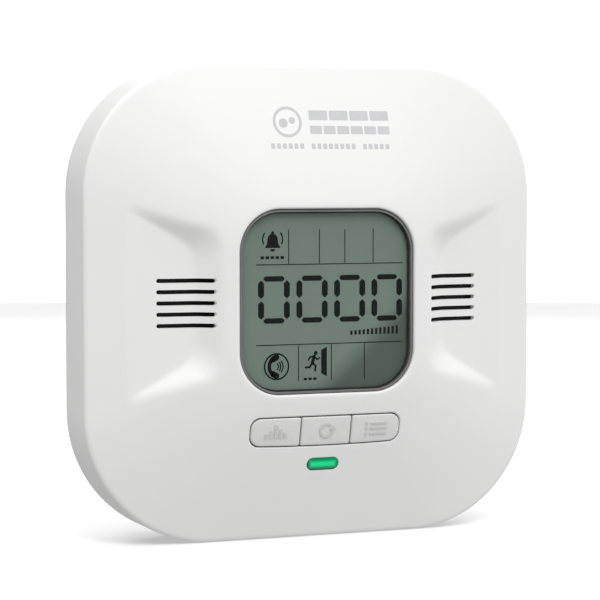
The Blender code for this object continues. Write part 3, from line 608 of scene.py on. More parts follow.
def make_front_shell(plastic):
    rings = [lens_ring(FINE_GAP, WELL_BACK)]
    rings += [lens_ring(FINE_GAP + LIP * (1 - math.cos(a)), LENS_FRONT - 0.2 * MM - LIP * math.sin(a))
              for a in arc(8)]
    rings += [dome_ring(k / 80) for k in range(1, 81)]
    corner = ((EDGE, 0.0), (0.0, 0.3 * EDGE), (0.0, EDGE))
    rings += [case_ring(inset, depth, DRAFT) for inset, depth in list(bend(*corner, 8))[1:]]
    wall_end = WALL_DEPTH - GAP
    rings += [case_ring(0, EDGE + (wall_end - EDGE) * k / 6, DRAFT * (1 - k / 6))
              for k in range(1, 7)]
    rings += [case_ring(GAP * (1 - math.cos(a)), wall_end + GAP * math.sin(a)) for a in arc(4)[1:]]
    rings += [case_ring(SHELL - inset, WALL_DEPTH - rise) for inset, rise in fillet(GAP, 4)]
    rings += [case_ring(SHELL, SHELL + EDGE, DRAFT)]
    rings += [inner_ring(1 - k / 40) for k in range(3, 39)]
    shell = solid("front_shell", rings, plastic, closed=True)

    posts = studs(CASE_SCREWS, (3.8 * MM, -0.6 * MM), (3.4 * MM, 8.3 * MM))
    posts += studs(BOARD_SCREWS, (2.6 * MM, -3.1 * MM), (2.4 * MM, -0.6 * MM))
    sounder, wide, bore = [(SOUNDER_X, SOUNDER_Z)], SOUNDER_RADIUS + 1.3 * MM, SOUNDER_RADIUS + GAP
    collar, = studs(sounder, (wide, 0.2 * MM), (wide, 5 * MM))
    cut(collar, *studs(sounder, (bore, -3 * MM), (bore, 6 * MM)))
    join(shell, collar, *posts)
    holes = studs(CASE_SCREWS, (1.6 * MM, 2 * MM), (1.6 * MM, 9 * MM))
    holes += studs(BOARD_SCREWS, (1.2 * MM, -2.6 * MM), (1.2 * MM, 0))
    for side in (-1, 1):
        for k in range(SLOT_COUNT):
            z = LENS_Z + (k - (SLOT_COUNT - 1) / 2) * SLOT_PITCH
            holes.append(opening("slot", slot_shape(side, z), face_depth, 1 * MM, 0.16 * MM))
    strip = strip_shape(-STRIP_HALF, STRIP_HALF)
    holes.append(opening("strip", strip, face_depth, -2 * MM, 0.35 * MM))
    holes.append(opening("pipe_hole", lambda grow: pill(0.12 * MM + grow), face_depth, 0.0, 0.25 * MM))
    cut(shell, *holes)
    piece(shell, stands_for=["front_cover"])


# ---- the display

def make_lens(clear):
    """A clear plate with a bevelled edge in dark grey, painted shade for the dark look of the clear edge as
    it bends light, and a black inner line.
    """
    bevel, wide = 0.45 * MM, 0.65 * MM
    rings = [lens_ring(-wide, LENS_FRONT + 0.02 * MM), lens_ring(-wide, LENS_BACK - 0.02 * MM)]
    window = solid("lens_window", rings, clear)
    piece(window, stands_for=["lcd_lens"])
    # the dark grey bevel is painted shade, standing in for the clear edge looking dark as it bends light
    bevel_shade = finish("bevel_painted_shade", (0.17, 0.17, 0.17), 0.12, mottle=0.1, patch=8,
                   relief=0.002, Coat_Weight=0.6)
    rings = [lens_ring(-wide, LENS_FRONT), lens_ring(-bevel, LENS_FRONT + 0.02 * MM)]
    rings += [lens_ring(-inset, LENS_FRONT + sink) for inset, sink in fillet(bevel, 6, 15, 75)]
    rings += [lens_ring(0, LENS_FRONT + bevel), lens_ring(0, LENS_BACK), lens_ring(-wide, LENS_BACK)]
    piece(solid("lens_bevel", rings, bevel_shade, closed=True))
    black = finish("black_inner_line", (0.02, 0.02, 0.02), 0.5, mottle=0.2, relief=0.001)
    rings = [lens_ring(grow, LENS_BACK + depth) for grow, depth in
             ((-0.5 * MM, 0.02 * MM), (-0.5 * MM, 0.1 * MM), (-1.05 * MM, 0.1 * MM),
              (-1.05 * MM, 0.02 * MM))]
    piece(solid("lens_border", rings, black, closed=True))


def make_display(glass):
    edge = 0.25 * MM
    low, high = LENS_Z - GLASS_HALF, LENS_Z + GLASS_HALF
    rings = [at_depth(outline(GLASS_HALF - inset, low + inset, high - inset, 0.6 * MM, 8, 4), depth)
             for inset, depth in ((edge, GLASS_FRONT), (0, GLASS_FRONT + edge),
                                  (0, GLASS_BACK - edge), (edge, GLASS_BACK))]
    piece(solid("display_panel", rings, glass), stands_for=["lcd_glass"])


def rect(x0, x1, z0, z1, clip=0.0):
    """A rectangle, with its corners cut off by clip."""
    if not clip:
        return [(x0, z0), (x1, z0), (x1, z1), (x0, z1)]
    return [(x0 + clip, z0), (x1 - clip, z0), (x1, z0 + clip), (x1, z1 - clip),
            (x1 - clip, z1), (x0 + clip, z1), (x0, z1 - clip), (x0, z0 + clip)]


def stroke(points, width, turn=6):
    """Outline of a line of some width through points, with round ends."""
    points = [Vector(p) for p in points]
    headings = [(b - a).normalized() for a, b in zip(points, points[1:])]
    left, right = [], []
    for k, point in enumerate(points):
        before, after = headings[max(k - 1, 0)], headings[min(k, len(headings) - 1)]
        heading = (before + after).normalized()
        reach = width / 2 / max(heading.dot(after), 0.5)
        normal = Vector((-heading.y, heading.x)) * reach
        left.append(point + normal)
        right.append(point - normal)
    ends = []
    for point, heading in ((points[-1], headings[-1]), (points[0], -headings[0])):
        base = math.atan2(heading.y, heading.x)
        ends.append([point + Vector((math.cos(base + a), math.sin(base + a))) * width / 2
                     for a in arc(turn, 90, -90)[1:-1]])
    loop = left + ends[0] + right[::-1] + ends[1]
    return [tuple(p) for p in loop]


def digit_zero(x, z, wide, tall, row, column):
    """Outlines of the six lit bars of a seven-segment nought, apart at their ends."""
    middle, apart = z + tall / 2, 0.3 * row
    bars = [rect(x + 0.9 * column, x + wide - 0.9 * column, edge, edge + row, 0.42 * row)
            for edge in (z, z + tall - row)]
    for side in (x, x + wide - column):
        for low, high in ((z + 0.85 * row, middle - apart), (middle + apart, z + tall - 0.85 * row)):
            bars.append(rect(side, side + column, low, high, 0.42 * column))
    return bars


class Ink:
    """Flat shapes in millimetres from an origin, printed on one surface as one piece."""

    def __init__(self, name, front, back, x=0.0, z=0.0):
        self.name, self.front, self.back = name, front, back
        self.x, self.z = x, z
        self.bm = bmesh.new()

    def rings(self, *places):
        return [at_depth([(self.x + x * MM, self.z + z * MM) for x, z in points], depth)
                for points, depth in places]

    def add(self, *outlines):
        for points in outlines:
            skin(self.bm, self.rings((points, self.front), (points, self.back)))

    def hoop(self, outer, inner):
        """A flat ring between two outlines of the same number of points."""
        skin(self.bm, self.rings((outer, self.front), (outer, self.back), (inner, self.back),
                                 (inner, self.front)), closed=True)

    def done(self, material, slot="lcd_glass", body="alarm"):
        piece(as_object(self.name, self.bm, material), body)


def lcd_ink(name, x=0.0, z=0.0):
    return Ink(name, GLASS_FRONT - 0.03 * MM, GLASS_FRONT - 0.005 * MM, x * MM, LENS_Z + z * MM)


def face_ink(name, proud, sunk, x=0.0, z=0.0):
    """Ink that stands proud of the face and reaches below it."""
    return Ink(name, lambda x, z: face_depth(x, z) - proud, lambda x, z: face_depth(x, z) + sunk, x, z)


def make_display_marks():
    """Liquid-crystal segments: a four-figure reading, ruled boxes and three small signs."""
    dark = finish("lcd_segment", (0.008, 0.009, 0.008), 0.4, mottle=0.15, patch=4,
                  relief=0.001, Specular_IOR_Level=0.1)
    left, right, half_line = -18.1, 20.9, 0.11
    upper, lower = 9.1, -10.6
    rules = lcd_ink("display_rules")
    rules.add(*(rect(left, right, z - half_line, z + half_line) for z in (upper, lower)))
    for places, low, high in (((-9.6, -1.5, 5.3, 12.9), upper + 0.2, upper + 8.6),
                              ((-7.0, 1.7, 10.6), lower - 9.1, lower - 0.2)):
        rules.add(*(rect(x - half_line, x + half_line, low, high) for x in places))
    rules.done(dark)

    digits = lcd_ink("display_digits")
    wide, tall = 8.3, 11.6
    pitch = (right - left - 0.6 - wide) / 3
    for k in range(4):
        digits.add(*digit_zero(left + 0.5 + k * pitch, -5.3, wide, tall, 1.3, 1.55))
    digits.done(dark)

    ticks = lcd_ink("display_ticks")
    for k in range(12):
        x = right - 1.5 - 1.12 * k
        ticks.add(rect(x - 0.3, x + 0.3, -8.6, -6.6 - 0.09 * k))
    for count, start, pitch, low, high in ((5, left + 1.6, 1.3, upper + 1.4, upper + 2.1),
                                           (3, -5.2, 1.25, lower - 8.9, lower - 8.3)):
        for k in range(count):
            x = start + pitch * k
            ticks.add(rect(x - 0.45, x + 0.45, low, high))
    ticks.done(dark)
    make_bell(dark, -13.8, upper + 5.6)
    make_handset(dark, -12.8, lower - 5.3)
    make_way_out(dark, -2.5, lower - 4.4)


def make_bell(dark, x, z):
    """Sounding bell."""
    bell = lcd_ink("display_bell", x, z)
    bell.add(sweep(0, 0.5, 1.35, 0, 180, 12, 1.5) + [(-1.5, -0.6), (-2.1, -1.5), (2.1, -1.5), (1.5, -0.6)],
             sweep(0, -1.8, 0.65, 180, 360, 10, 0.6), circle(0, 2.2, 0.4, 12))
    for side in (-1, 1):
        wave = [(side * px, pz) for px, pz in sweep(0, 0.6, 2.6, -24, 36, 8)]
        bell.add(stroke(wave, 0.35))
    bell.done(dark)


def make_handset(dark, x, z):
    """Telephone handset in front of a disc."""
    sign = lcd_ink("display_handset", x, z)
    sign.hoop(circle(0, 0, 3.35, 40), circle(0, 0, 2.95, 40))
    sign.add(stroke(sweep(0.6, 0, 2.5, 118, 242, 12), 0.95))
    for a in arc(1, 118, 242):
        centre = Vector((0.6 + 2.3 * math.cos(a), 2.3 * math.sin(a)))
        lean = Vector((-math.sin(a), math.cos(a))) * 0.55
        sign.add(stroke([centre - lean, centre + lean], 1.5))
    for k, reach in enumerate((0.9, 1.5, 2.1)):
        sign.add(stroke(sweep(-0.4, 0, reach, -48 + 4 * k, 48 - 4 * k, 8), 0.32))
    sign.done(dark)


def make_way_out(dark, x, z):
    """Figure running to an open door."""
    sign = lcd_ink("display_way_out", x, z)
    door = [(1.5, -2.9), (3.0, -3.7), (3.0, 3.6), (1.5, 2.9)]
    sign.add(door, circle(0.05, 2.15, 0.52, 14))
    limbs = (((-0.35, 1.35), (-0.85, -0.35), 0.85),
             ((-0.3, 1.25), (0.45, 0.55), (1.05, 0.95), 0.4),
             ((-0.45, 1.3), (-1.5, 1.2), (-1.85, 0.45), 0.4),
             ((-0.8, -0.3), (0.05, -1.0), (-0.15, -2.2), 0.5),
             ((-0.9, -0.3), (-1.55, -1.3), (-2.6, -1.35), 0.5))
    sign.add(*(stroke(points, width) for *points, width in limbs))
    sign.done(dark)


def make_face_print():
    """Light grey print above the window: a molecule sign and three rows of plain blocks."""
    grey = finish("light_grey_print", (0.58, 0.58, 0.59), 0.5, mottle=0.03, patch=3,
                  relief=0.001)
    sign = face_ink("face_print", 0.03 * MM, 0.05 * MM)
    x, z = -9.0, 103.5
    sign.hoop(circle(x, z, 3.8, 48), circle(x, z, 3.1, 48))
    sign.add(circle(x - 1.1, z - 0.3, 1.15, 24), circle(x + 1.25, z + 0.35, 0.85, 20))
    rows = ((104.0, 106.4, -3.2, 5.45, 0.5, (4,)), (100.6, 102.6, -3.2, 3.63, 0.45, (6,)),
            (96.9, 98.2, -13.8, 1.52, 0.5, (6, 8, 5)))
    for low, high, start, pitch, gap, words in rows:
        for count in words:
            for left in (start + k * pitch for k in range(count)):
                sign.add(rect(left, left + pitch - gap, low, high, 0.15))
            start += (count + 1) * pitch
    sign.done(grey, "front_moulding")


# ---- buttons and light

def make_buttons(plastic):
    flange_front, flange_back = -3.9 * MM, -3.1 * MM
    shoulder, crown = 0.4 * MM, 0.1 * MM

    def top(x, z):
        return face_depth(x, z) - BUTTON_PROUD + crown
    for k, name in enumerate(BUTTONS):
        x0, x1 = -STRIP_HALF + k * BUTTON_PITCH, -STRIP_HALF + (k + 1) * BUTTON_PITCH
        x0 += GAP if k == 0 else BUTTON_GAP / 2
        x1 -= GAP if k == 2 else BUTTON_GAP / 2
        shape = strip_shape(x0, x1)
        mid_x, mid_z = (x0 + x1) / 2, (STRIP_LOW + STRIP_HIGH - STRIP_BOW) / 2
        body, flange = shape(0.0, -GAP), shape(0.0, 1.2 * MM - GAP)
        half_x = max(abs(x - mid_x) for x, z in body)
        half_z = max(abs(z - mid_z) for x, z in body)

        def shrunk(inset):
            """The body's outline, drawn in towards its middle by inset on every side."""
            return [(mid_x + (x - mid_x) * (1 - inset / half_x),
                     mid_z + (z - mid_z) * (1 - inset / half_z)) for x, z in body]
        rings = [at_depth(flange, flange_back), at_depth(flange, flange_front),
                 at_depth(body, flange_front)]
        for sink, inset in fillet(shoulder, 6):
            rings.append(at_depth(shrunk(inset), lambda x, z: top(x, z) + sink))
        for step in range(1, 8):
            lift = crown * (1 - (1 - step / 7) ** 2)
            rings.append(at_depth(shrunk(shoulder + step * 0.4 * MM), lambda x, z: top(x, z) - lift))
        cap = solid("cap_" + name, rings, plastic)
        piece(cap, "button_" + name, ["button_" + name])


def make_button_signs(plastic):
    """Raised signs on the caps: a bar chart, a turning arrow and a list. Their darker white is painted
    shade for the shadows round the raised signs.
    """
    for k, name in enumerate(BUTTONS):
        sign = face_ink("sign_" + name, BUTTON_PROUD + 0.24 * MM, 0.2 * MM - BUTTON_PROUD,
                        -STRIP_HALF + (k + 0.5) * BUTTON_PITCH, 27.45 * MM)
        if name == "left":
            for n, tall in enumerate((1.2, 2.0, 3.4, 2.3, 1.4)):
                left = (n - 2.5) * 1.25
                sign.add(rect(left + 0.2, left + 1.0, -1.5, tall - 1.5, 0.12))
        elif name == "middle":
            sign.add(stroke(sweep(0, 0, 1.6, 60, 360, 20), 0.55), [(1.6, 1.35), (2.45, 0.15), (0.75, 0.15)])
        else:
            for row in (-1.3, 0.0, 1.3):
                sign.add(circle(-2.6, row, 0.36, 12), stroke([(-1.4, row), (2.6, row)], 0.5))
        sign.done(plastic, "button_moulding", "button_" + name)


def make_light(green):
    rings = [[(0.8 * x, deep(-1.9 * MM), z) for x, z in pill()],
             at_depth(pill(), lambda x, z: face_depth(x, z) + 0.3 * MM)]
    for angle in arc(5, 15, 90):
        inset, sink = 0.3 * MM * (1 - math.cos(angle)), 0.4 * MM * (1 - math.sin(angle))
        rings.append(at_depth(pill(-inset), lambda x, z: face_depth(x, z) - 0.1 * MM + sink))
    piece(solid("light_pill", rings, green), stands_for=["light_pipe"])
    rim = finish("light_rim_green", (0.010, 0.16, 0.06), 0.3, mottle=0.08, relief=0.001)
    inner, outer, front, back = 0.02 * MM, 0.11 * MM, 0.10 * MM, 0.9 * MM
    rings = [at_depth(pill(grow), lambda x, z: face_depth(x, z) + depth)
             for grow, depth in ((inner, front), (inner, back), (outer, back), (outer, front))]
    piece(solid("light_rim", rings, rim, closed=True))


# ---- the back

def back_ring(inset, depth):
    """Ring inside the side wall of the front shell, shrunk by inset."""
    edge = SHELL + GAP + inset
    return at_depth(outline(WIDTH / 2 - edge, edge, HEIGHT - edge, CORNER - edge), depth)


def frame_shape(half, low, high, radius, x=0.0):
    """Outline of a rounded rectangle centred on x, as a function of how much it is grown."""
    def shape(grow):
        points = outline(half + grow, low - grow, high + grow, max(radius + grow, 0.05 * MM), 6, 6)
        return [(x + px, z) for px, z in points]
    return shape


def disc_shape(x, z, radius):
    return lambda grow: circle(x, z, radius + grow, 40)


def from_back(name, shape, bottom, radius=0.3 * MM, back=PLATEAU):
    """A cutter into a flat back."""
    return opening(name, shape, lambda x, z: back, bottom, radius, outward=1)


def pin(name, x, radius, material=None, count=24):
    """A round bar on the door's hinge axis."""
    rings = [[(px, y, z) for y, z in circle(deep(HINGE_DEPTH), HINGE_Z, radius, count)] for px in x]
    return solid(name, rings, material)


def make_rear_shell(plastic):
    flange = WALL_DEPTH - 2 * MM
    rings = [back_ring(0, flange), back_ring(0, WALL_DEPTH - 0.3 * MM)]
    rings += [back_ring(inset, WALL_DEPTH - rise) for rise, inset in fillet(0.3 * MM, 4)[1:]]
    for curve in (((0.8 * MM, WALL_DEPTH), (1.5 * MM, WALL_DEPTH), (1.8 * MM, 16.2 * MM), 4),
                  ((3.9 * MM, 21.05 * MM), (4.75 * MM, PLATEAU), (6.4 * MM, PLATEAU), 10)):
        rings += [back_ring(inset, depth) for inset, depth in bend(*curve)]
    shell = solid("rear_shell", rings, plastic)
    inside = PLATEAU - SHELL
    rings = [back_ring(2.5 * MM, flange - MM), back_ring(2.5 * MM, WALL_DEPTH - MM),
             back_ring(6.7 * MM, inside)]
    cut(shell, solid("cavity", rings))
    outer = TRAY_HALF + TRAY_WALL
    posts = studs(CASE_SCREWS, (3.9 * MM, 8.6 * MM), (3.9 * MM, PLATEAU - 0.5 * MM))
    join(shell, block("tray", (-outer, outer), (TRAY_FLOOR - 1.2 * MM, PLATEAU - 0.5 * MM),
                      (TRAY_LOW - TRAY_WALL, TRAY_HIGH + TRAY_WALL)), *posts)
    side, seat = DOOR_HALF + GAP, PLATEAU - DOOR_THICK - GAP
    holes = [block("pocket", (-TRAY_HALF, TRAY_HALF), (TRAY_FLOOR, PLATEAU + MM),
                   (TRAY_LOW, TRAY_HIGH)),
             from_back("door_seat", frame_shape(side, HINGE_Z - 1.3 * MM, DOOR_HIGH + GAP, 0.5 * MM),
                       seat, 0.35 * MM),
             from_back("thumb_notch", disc_shape(0, DOOR_HIGH + 1.5 * MM, 5.6 * MM),
                       seat + 0.4 * MM, 0.4 * MM)]
    for x in ((-side - PIN_LONG, MM - side), (side - MM, side + PIN_LONG)):
        holes.append(pin("pin_hole", x, PIN_RADIUS + GAP))
    for x, z in CASE_SCREWS:
        holes.append(from_back("well", disc_shape(x, z, 2.9 * MM), 11 * MM, 0.4 * MM))
        holes.append(turned("hole", x, z, [(1.6 * MM, 8 * MM), (1.6 * MM, 12 * MM)]))
    for x, z in HOOKS:
        for half, low, high, radius in (
                (HOOK_STEM / 2, z - UNHOOK - 2 * MM, z + HOOK_STEM / 2 + GAP, 0.5 * MM),
                (HOOK_HEAD / 2, z - UNHOOK - 3.2 * MM, z - UNHOOK + 3.2 * MM, 0.8 * MM)):
            holes.append(from_back("keyhole", frame_shape(half + GAP, low, high, radius, x),
                                   inside - MM, 0.2 * MM))
    cut(shell, *holes)
    piece(shell, stands_for=["rear_cover"])


def rounded_plate(name, shape, front, back, radius, material=None, steps=5):
    """A plate with rounded edges; shape(grow) gives its outline."""
    rings = [at_depth(shape(-inset), front + sink) for inset, sink in fillet(radius, steps)]
    rings += [at_depth(shape(-inset), back - sink) for sink, inset in fillet(radius, steps)]
    return solid(name, rings, material)


def make_door(plastic):
    front = PLATEAU - DOOR_THICK
    shape = frame_shape(DOOR_HALF, HINGE_Z - DOOR_THICK / 2, DOOR_HIGH, 1.0 * MM)
    door = rounded_plate("door_panel", shape, front, PLATEAU, 0.4 * MM, plastic)
    reach = DOOR_HALF + PIN_LONG - GAP
    join(door, pin("pins", (-reach, reach), PIN_RADIUS))
    grips = []
    for k in range(4):
        z = DOOR_HIGH - (4 + 1.8 * k) * MM
        width = (7 - k) * MM
        grips.append(from_back("grip", frame_shape(width, z - 0.45 * MM, z + 0.45 * MM, 0.4 * MM),
                               PLATEAU - 0.5 * MM, 0.15 * MM))
    cut(door, *grips)
    piece(door, "battery_door", ["battery_door"])


def make_bracket(plastic):
    front, thick = PLATEAU + GAP, BRACKET_BACK - PLATEAU - GAP
    shape = frame_shape(BRACKET_HALF, BRACKET_LOW, BRACKET_HIGH, 5 * MM)
    plate = rounded_plate("bracket_plate", shape, front, BRACKET_BACK, 0.6 * MM, plastic)
    hooks = []
    stem, head = HOOK_STEM / 2, HOOK_HEAD / 2
    for x, z in HOOKS:
        hooks.append(block("stem", (x - stem, x + stem), (PLATEAU - SHELL - 1.2 * MM, front + MM),
                           (z - stem, z + stem)))
        shape = frame_shape(head, z - stem - 0.5 * MM, z + stem, 0.4 * MM, x)
        hooks.append(rounded_plate("head", shape, PLATEAU - SHELL - 2 * MM, PLATEAU - SHELL - GAP,
                                   0.25 * MM))
    join(plate, *hooks)

    holes = [(disc_shape(0, BRACKET_Z, 4.5 * MM), PLATEAU)]
    for half, tall, radius, x, bottom in (
            (SCREW_SLOT, 5 * MM, 1.5 * MM, 12.5 * MM, PLATEAU),
            (5.5 * MM, BRACKET_HIGH - BRACKET_Z - 4 * MM, 2.5 * MM, 26 * MM,
             BRACKET_BACK - 0.45 * thick)):
        holes += [(frame_shape(half, BRACKET_Z - tall, BRACKET_Z + tall, radius, side * x), bottom)
                  for side in (-1, 1)]
    cut(plate, *(from_back("hole", shape, bottom, 0.4 * MM, BRACKET_BACK) for shape, bottom in holes))
    piece(plate, "wall_bracket", ["wall_bracket"])


# ---- screws and cells

def make_screw(name, x, z, seat, head, shank, length, steel):
    """A pan-head screw whose head sits on the depth seat and whose point is in front of it."""
    top, rim = seat + 0.65 * head, seat + 0.2 * head
    start = seat - length + 0.8 * shank
    profile = [(0.25 * shank, seat - length), (0.7 * shank, start)]
    threads = int(length / (0.9 * shank)) * 2
    for k in range(1, threads):
        profile.append((shank if k % 2 else 0.78 * shank, start + (seat - start) * k / threads))
    profile += [(0.8 * shank, seat), (0.94 * head, seat), (head, seat + 0.06 * head), (head, rim)]
    profile += sweep(0.55 * head, rim, 0.45 * head, 15, 90, 6)
    screw = turned(name, x, z, profile, steel, 40)
    cross = [block("cross", (x - w * head, x + w * head), (seat + 0.3 * head, top + MM),
                   (z - t * head, z + t * head)) for w, t in ((0.52, 0.11), (0.11, 0.52))]
    cut(screw, *cross)
    return screw


def make_screws(steel):
    for kind, places, sizes in (
            ("board", BOARD_SCREWS, (BOARD_BACK + GAP, 2.0 * MM, 0.9 * MM, 3.9 * MM)),
            ("case", CASE_SCREWS, (11.3 * MM, 2.6 * MM, 1.3 * MM, 9 * MM))):
        for k, (x, z) in enumerate(places):
            screw = make_screw(f"{kind}_fixing_{k + 1}", x, z, *sizes, steel)
            piece(screw, stands_for=[f"{kind}_screw_{k + 1}"])


def bay(kind, k):
    """The side that a cell's plus faces, the z and depth of its axis, and x at its two ends."""
    low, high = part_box(f"{kind}_{k + 1}")
    side = -1 if k % 2 == 0 else 1
    ends = (low[0], high[0]) if side < 0 else (high[0], low[0])
    return side, (low[2] + high[2]) / 2, (low[1] + high[1]) / 2 - RIM_Y, *ends


def make_cells(steel):
    jackets = {side: cell_jacket(f"cell_jacket_{name}", side) for side, name in ((-1, "a"), (1, "b"))}
    for k in range(3):
        side, z, depth, plus, minus = bay("battery", k)
        body = plus - side * 1.4 * MM
        r, edge = CELL_RADIUS, 0.5 * MM
        profile = [(3.6 * MM, minus), (4.0 * MM, minus + side * 0.2 * MM),
                   (r - 1.0 * MM, minus + side * 0.2 * MM), (r - 0.7 * MM, minus)]
        profile += [(r - inset, minus + side * rise) for inset, rise in fillet(edge, 5)]
        profile += [(r - inset, body - side * rise) for rise, inset in fillet(edge, 5)]
        profile += [(r - 1.2 * MM, body), (r - 1.4 * MM, body - side * 0.25 * MM),
                    (3.2 * MM, body - side * 0.25 * MM), (2.75 * MM, body)]
        profile += [(2.6 * MM - inset, plus - side * rise) for rise, inset in fillet(0.3 * MM, 4)]
        rings = [[(x, py, pz) for py, pz in circle(deep(depth), z, radius, 48)] for radius, x in profile]
        cell = solid(f"cell_{k + 1}", rings, jackets[side])
        mesh = cell.data
        mesh.materials.append(steel)
        for face in mesh.polygons:
            places = [mesh.vertices[v].co for v in face.vertices]
            if max(math.hypot(p.y - deep(depth), p.z - z) for p in places) < r - 0.6 * MM:
                face.material_index = 1
        piece(cell, stands_for=[f"battery_{k + 1}"])


def make_springs(steel):
    """Conical coils that press on the negative ends of the cells."""
    turns, steps, wire = 3.0, 36, 0.35 * MM
    for k in range(3):
        side, z, depth, start, end = bay("battery_spring", k)
        start, end = start - side * wire, end + side * wire
        path = []
        for t in (n / (turns * steps) for n in range(int(turns * steps) + 1)):
            radius, angle = (2.4 + 2.4 * smooth(t)) * MM, 2 * math.pi * turns * t
            path.append(Vector((start + (end - start) * t, deep(depth) + radius * math.cos(angle),
                                z + radius * math.sin(angle))))
        rings = []
        for point, before, after in zip(path, path[:1] + path, path[1:] + path[-1:]):
            ahead = (after - before).normalized()
            across = ahead.cross(Vector((1, 0, 0))).normalized()
            up = across.cross(ahead)
            rings.append([tuple(point + across * u + up * v) for u, v in circle(0, 0, wire, 12)])
        coil = solid(f"coil_{k + 1}", rings, steel)
        piece(coil, stands_for=[f"battery_spring_{k + 1}"])


# ---- frame nodes that stay

def dress(material, *names):
    """Gives frame nodes a new finish."""
    for name in names:
        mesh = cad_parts[name].data
        mesh.materials.clear()
        mesh.materials.append(material)


def dress_inner_parts():
    dress(finish("soft_black_foam", (0.012, 0.012, 0.013), 0.85, mottle=0.25, patch=2,
                 grain=0.3, relief=0.06), "lens_gasket")
    dress(finish("milky_acrylic", (0.80, 0.84, 0.79), 0.4, mottle=0.02, relief=0.004,
                 Subsurface_Weight=0.2), "backlight_diffuser")
    dress(finish("ivory_frame", (0.62, 0.61, 0.55), 0.5, mottle=0.03), "lcd_frame")
    dress(finish("striped_rubber", (0.36, 0.13, 0.10), 0.7, mottle=0.2, patch=1),
          "zebra_connector")
    dress(laminate(), "main_board")
    dress(finish("black_epoxy", (0.018, 0.018, 0.020), 0.45, mottle=0.15, patch=2,
                 grain=0.15, relief=0.01), "microcontroller", "alarm_driver_chip")
    dress(finish("shrink_sleeve", (0.015, 0.025, 0.10), 0.3, mottle=0.12, patch=3,
                 Coat_Weight=0.3), "capacitor_1", "capacitor_2")
    dress(finish("sintered_ferrite", (0.045, 0.044, 0.043), 0.75, mottle=0.25, patch=1,
                 grain=0.2, relief=0.02), "sounder_coil")
    dress(brushed("drawn_steel", (0.60, 0.60, 0.58), 0.28), "sensor_can")
    dress(finish("filter_nylon", (0.70, 0.66, 0.55), 0.55, mottle=0.05), "sensor_filter_cap")
    dress(finish("black_abs", (0.022, 0.022, 0.023), 0.42, mottle=0.1, relief=0.006),
          "sounder_housing", "switch_base_left", "switch_base_middle", "switch_base_right")
    dress(finish("brown_nylon", (0.12, 0.07, 0.045), 0.45, mottle=0.1, patch=1),
          "switch_plunger_left", "switch_plunger_middle", "switch_plunger_right")
    dress(brushed("rolled_brass", (0.78, 0.56, 0.20), 0.25), "piezo_disc")
    dress(woven_screen(), "vent_screen_left", "vent_screen_right")
    dress(finish("chip_resin", (0.80, 0.80, 0.52), 0.25, mottle=0.04, patch=1), "status_led")
    dress(finish("red_insulation", (0.42, 0.015, 0.012), 0.4, mottle=0.08, patch=2),
          "sounder_wire_red", "battery_wire_red")
    dress(finish("black_insulation", (0.016, 0.016, 0.017), 0.4, mottle=0.15, patch=2),
          "sounder_wire_black", "battery_wire_black")
    dress(brushed("plated_nickel", (0.64, 0.62, 0.57), 0.24), "contact_positive",
          "contact_negative", "contact_bridge_left", "contact_bridge_right")


# ---- studio

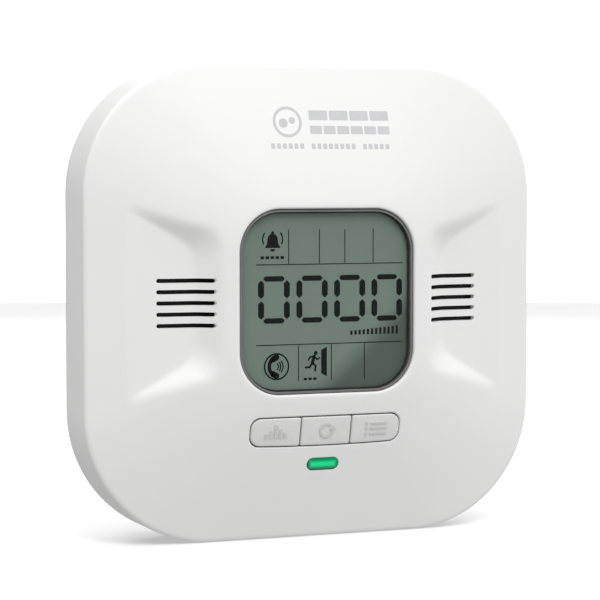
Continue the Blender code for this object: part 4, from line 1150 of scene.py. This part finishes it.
def make_studio():
    scene = bpy.context.scene
    scene.view_settings.view_transform = "Standard"
    glow = {"mottle": 0.004, "relief": 0.02, "Emission_Color": (1, 1, 1, 1)}
    bm = bmesh.new()
    bmesh.ops.create_grid(bm, x_segments=8, y_segments=8, size=FLOOR_REACH)
    paper = finish("white_paper", (0.98, 0.98, 0.98), 0.7, patch=100, grain=1,
                   Emission_Strength=0.04, **glow)
    floor = as_object("studio_floor", bm, paper)
    bm = bmesh.new()
    skin(bm, [[(x, y, z) for x, y in circle(0, 0, WALL_REACH, 64)] for z in (-0.1, WALL_HIGH)])
    white = finish("white_backdrop", (0.9, 0.9, 0.9), 0.8, patch=1000, grain=100,
                   Emission_Strength=1.0, **glow)
    wall = as_object("studio_wall", bm, white)
    for backdrop in (floor, wall):
        backdrop.visible_diffuse = False
        backdrop.visible_glossy = False
        backdrop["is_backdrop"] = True
    wall.visible_shadow = False

    world = bpy.data.worlds.new("studio")
    scene.world = world
    world.use_nodes = True
    tree = world.node_tree
    direction = tree.nodes.new("ShaderNodeTexCoord").outputs["Generated"]
    level = AMBIENT
    for heading, amount in SKY_SHARES:
        share = calc(tree, "MAXIMUM", along(tree, direction, heading), 0.0)
        level = calc(tree, "MULTIPLY_ADD", share, amount, level)
    behind = between(tree, along(tree, direction, (0, 1, 0)), *BEHIND_EDGE)
    level = add(tree, "Mix", 0, {0: behind, 2: level, 3: BEHIND}, data_type="FLOAT")
    tree.links.new(level, tree.nodes["Background"].inputs["Strength"])
    tree.nodes["Background"].inputs["Color"].default_value = (1, 1, 1, 1)

    for name, place, size, watts in LAMPS:
        light = bpy.data.lights.new(name, "AREA")
        light.shape = "SQUARE"
        light.size = size
        light.energy = watts
        lamp = bpy.data.objects.new(name, light)
        scene.collection.objects.link(lamp)
        lamp.location = place
        lamp.rotation_euler = (LAMP_AIM - lamp.location).to_track_quat("-Z", "Y").to_euler()


def make_camera():
    camera = bpy.data.cameras.new("camera")
    camera.lens = CAMERA_LENS
    camera.sensor_width = 36
    obj = bpy.data.objects.new("camera", camera)
    bpy.context.scene.collection.objects.link(obj)
    ahead = Vector((math.sin(AZIMUTH) * math.cos(ELEVATION),
                    math.cos(AZIMUTH) * math.cos(ELEVATION), -math.sin(ELEVATION)))
    obj.location = CAMERA_AIM - ahead * CAMERA_DISTANCE
    obj.rotation_euler = ahead.to_track_quat("-Z", "Y").to_euler()
    bpy.context.scene.camera = obj


make_camera()
make_front_shell(white_plastic("front_white"))
make_lens(clear_lens())
make_display(display_glass())
make_display_marks()
make_face_print()
cap_plastic = white_plastic("button_white", 0.77, 0.38)
make_buttons(cap_plastic)
# the signs are a darker white than the caps: painted shade for the shadows of the raised signs
make_button_signs(white_plastic("sign_white_painted_shade", 0.64, 0.38))
make_light(light_green())
make_rear_shell(white_plastic("rear_white", 0.82, 0.5))
make_door(white_plastic("door_white", 0.82, 0.5))
make_bracket(white_plastic("bracket_white", 0.80, 0.55))
bright_steel = brushed("zinc_plate", (0.62, 0.62, 0.60), 0.26)
make_screws(bright_steel)
make_cells(bright_steel)
make_springs(bright_steel)
dress_inner_parts()
make_studio()

({name: [[float(c) for c in corner] for corner in box]
           for name, box in (("cad", CAD_BOX), ("visual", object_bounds()))})
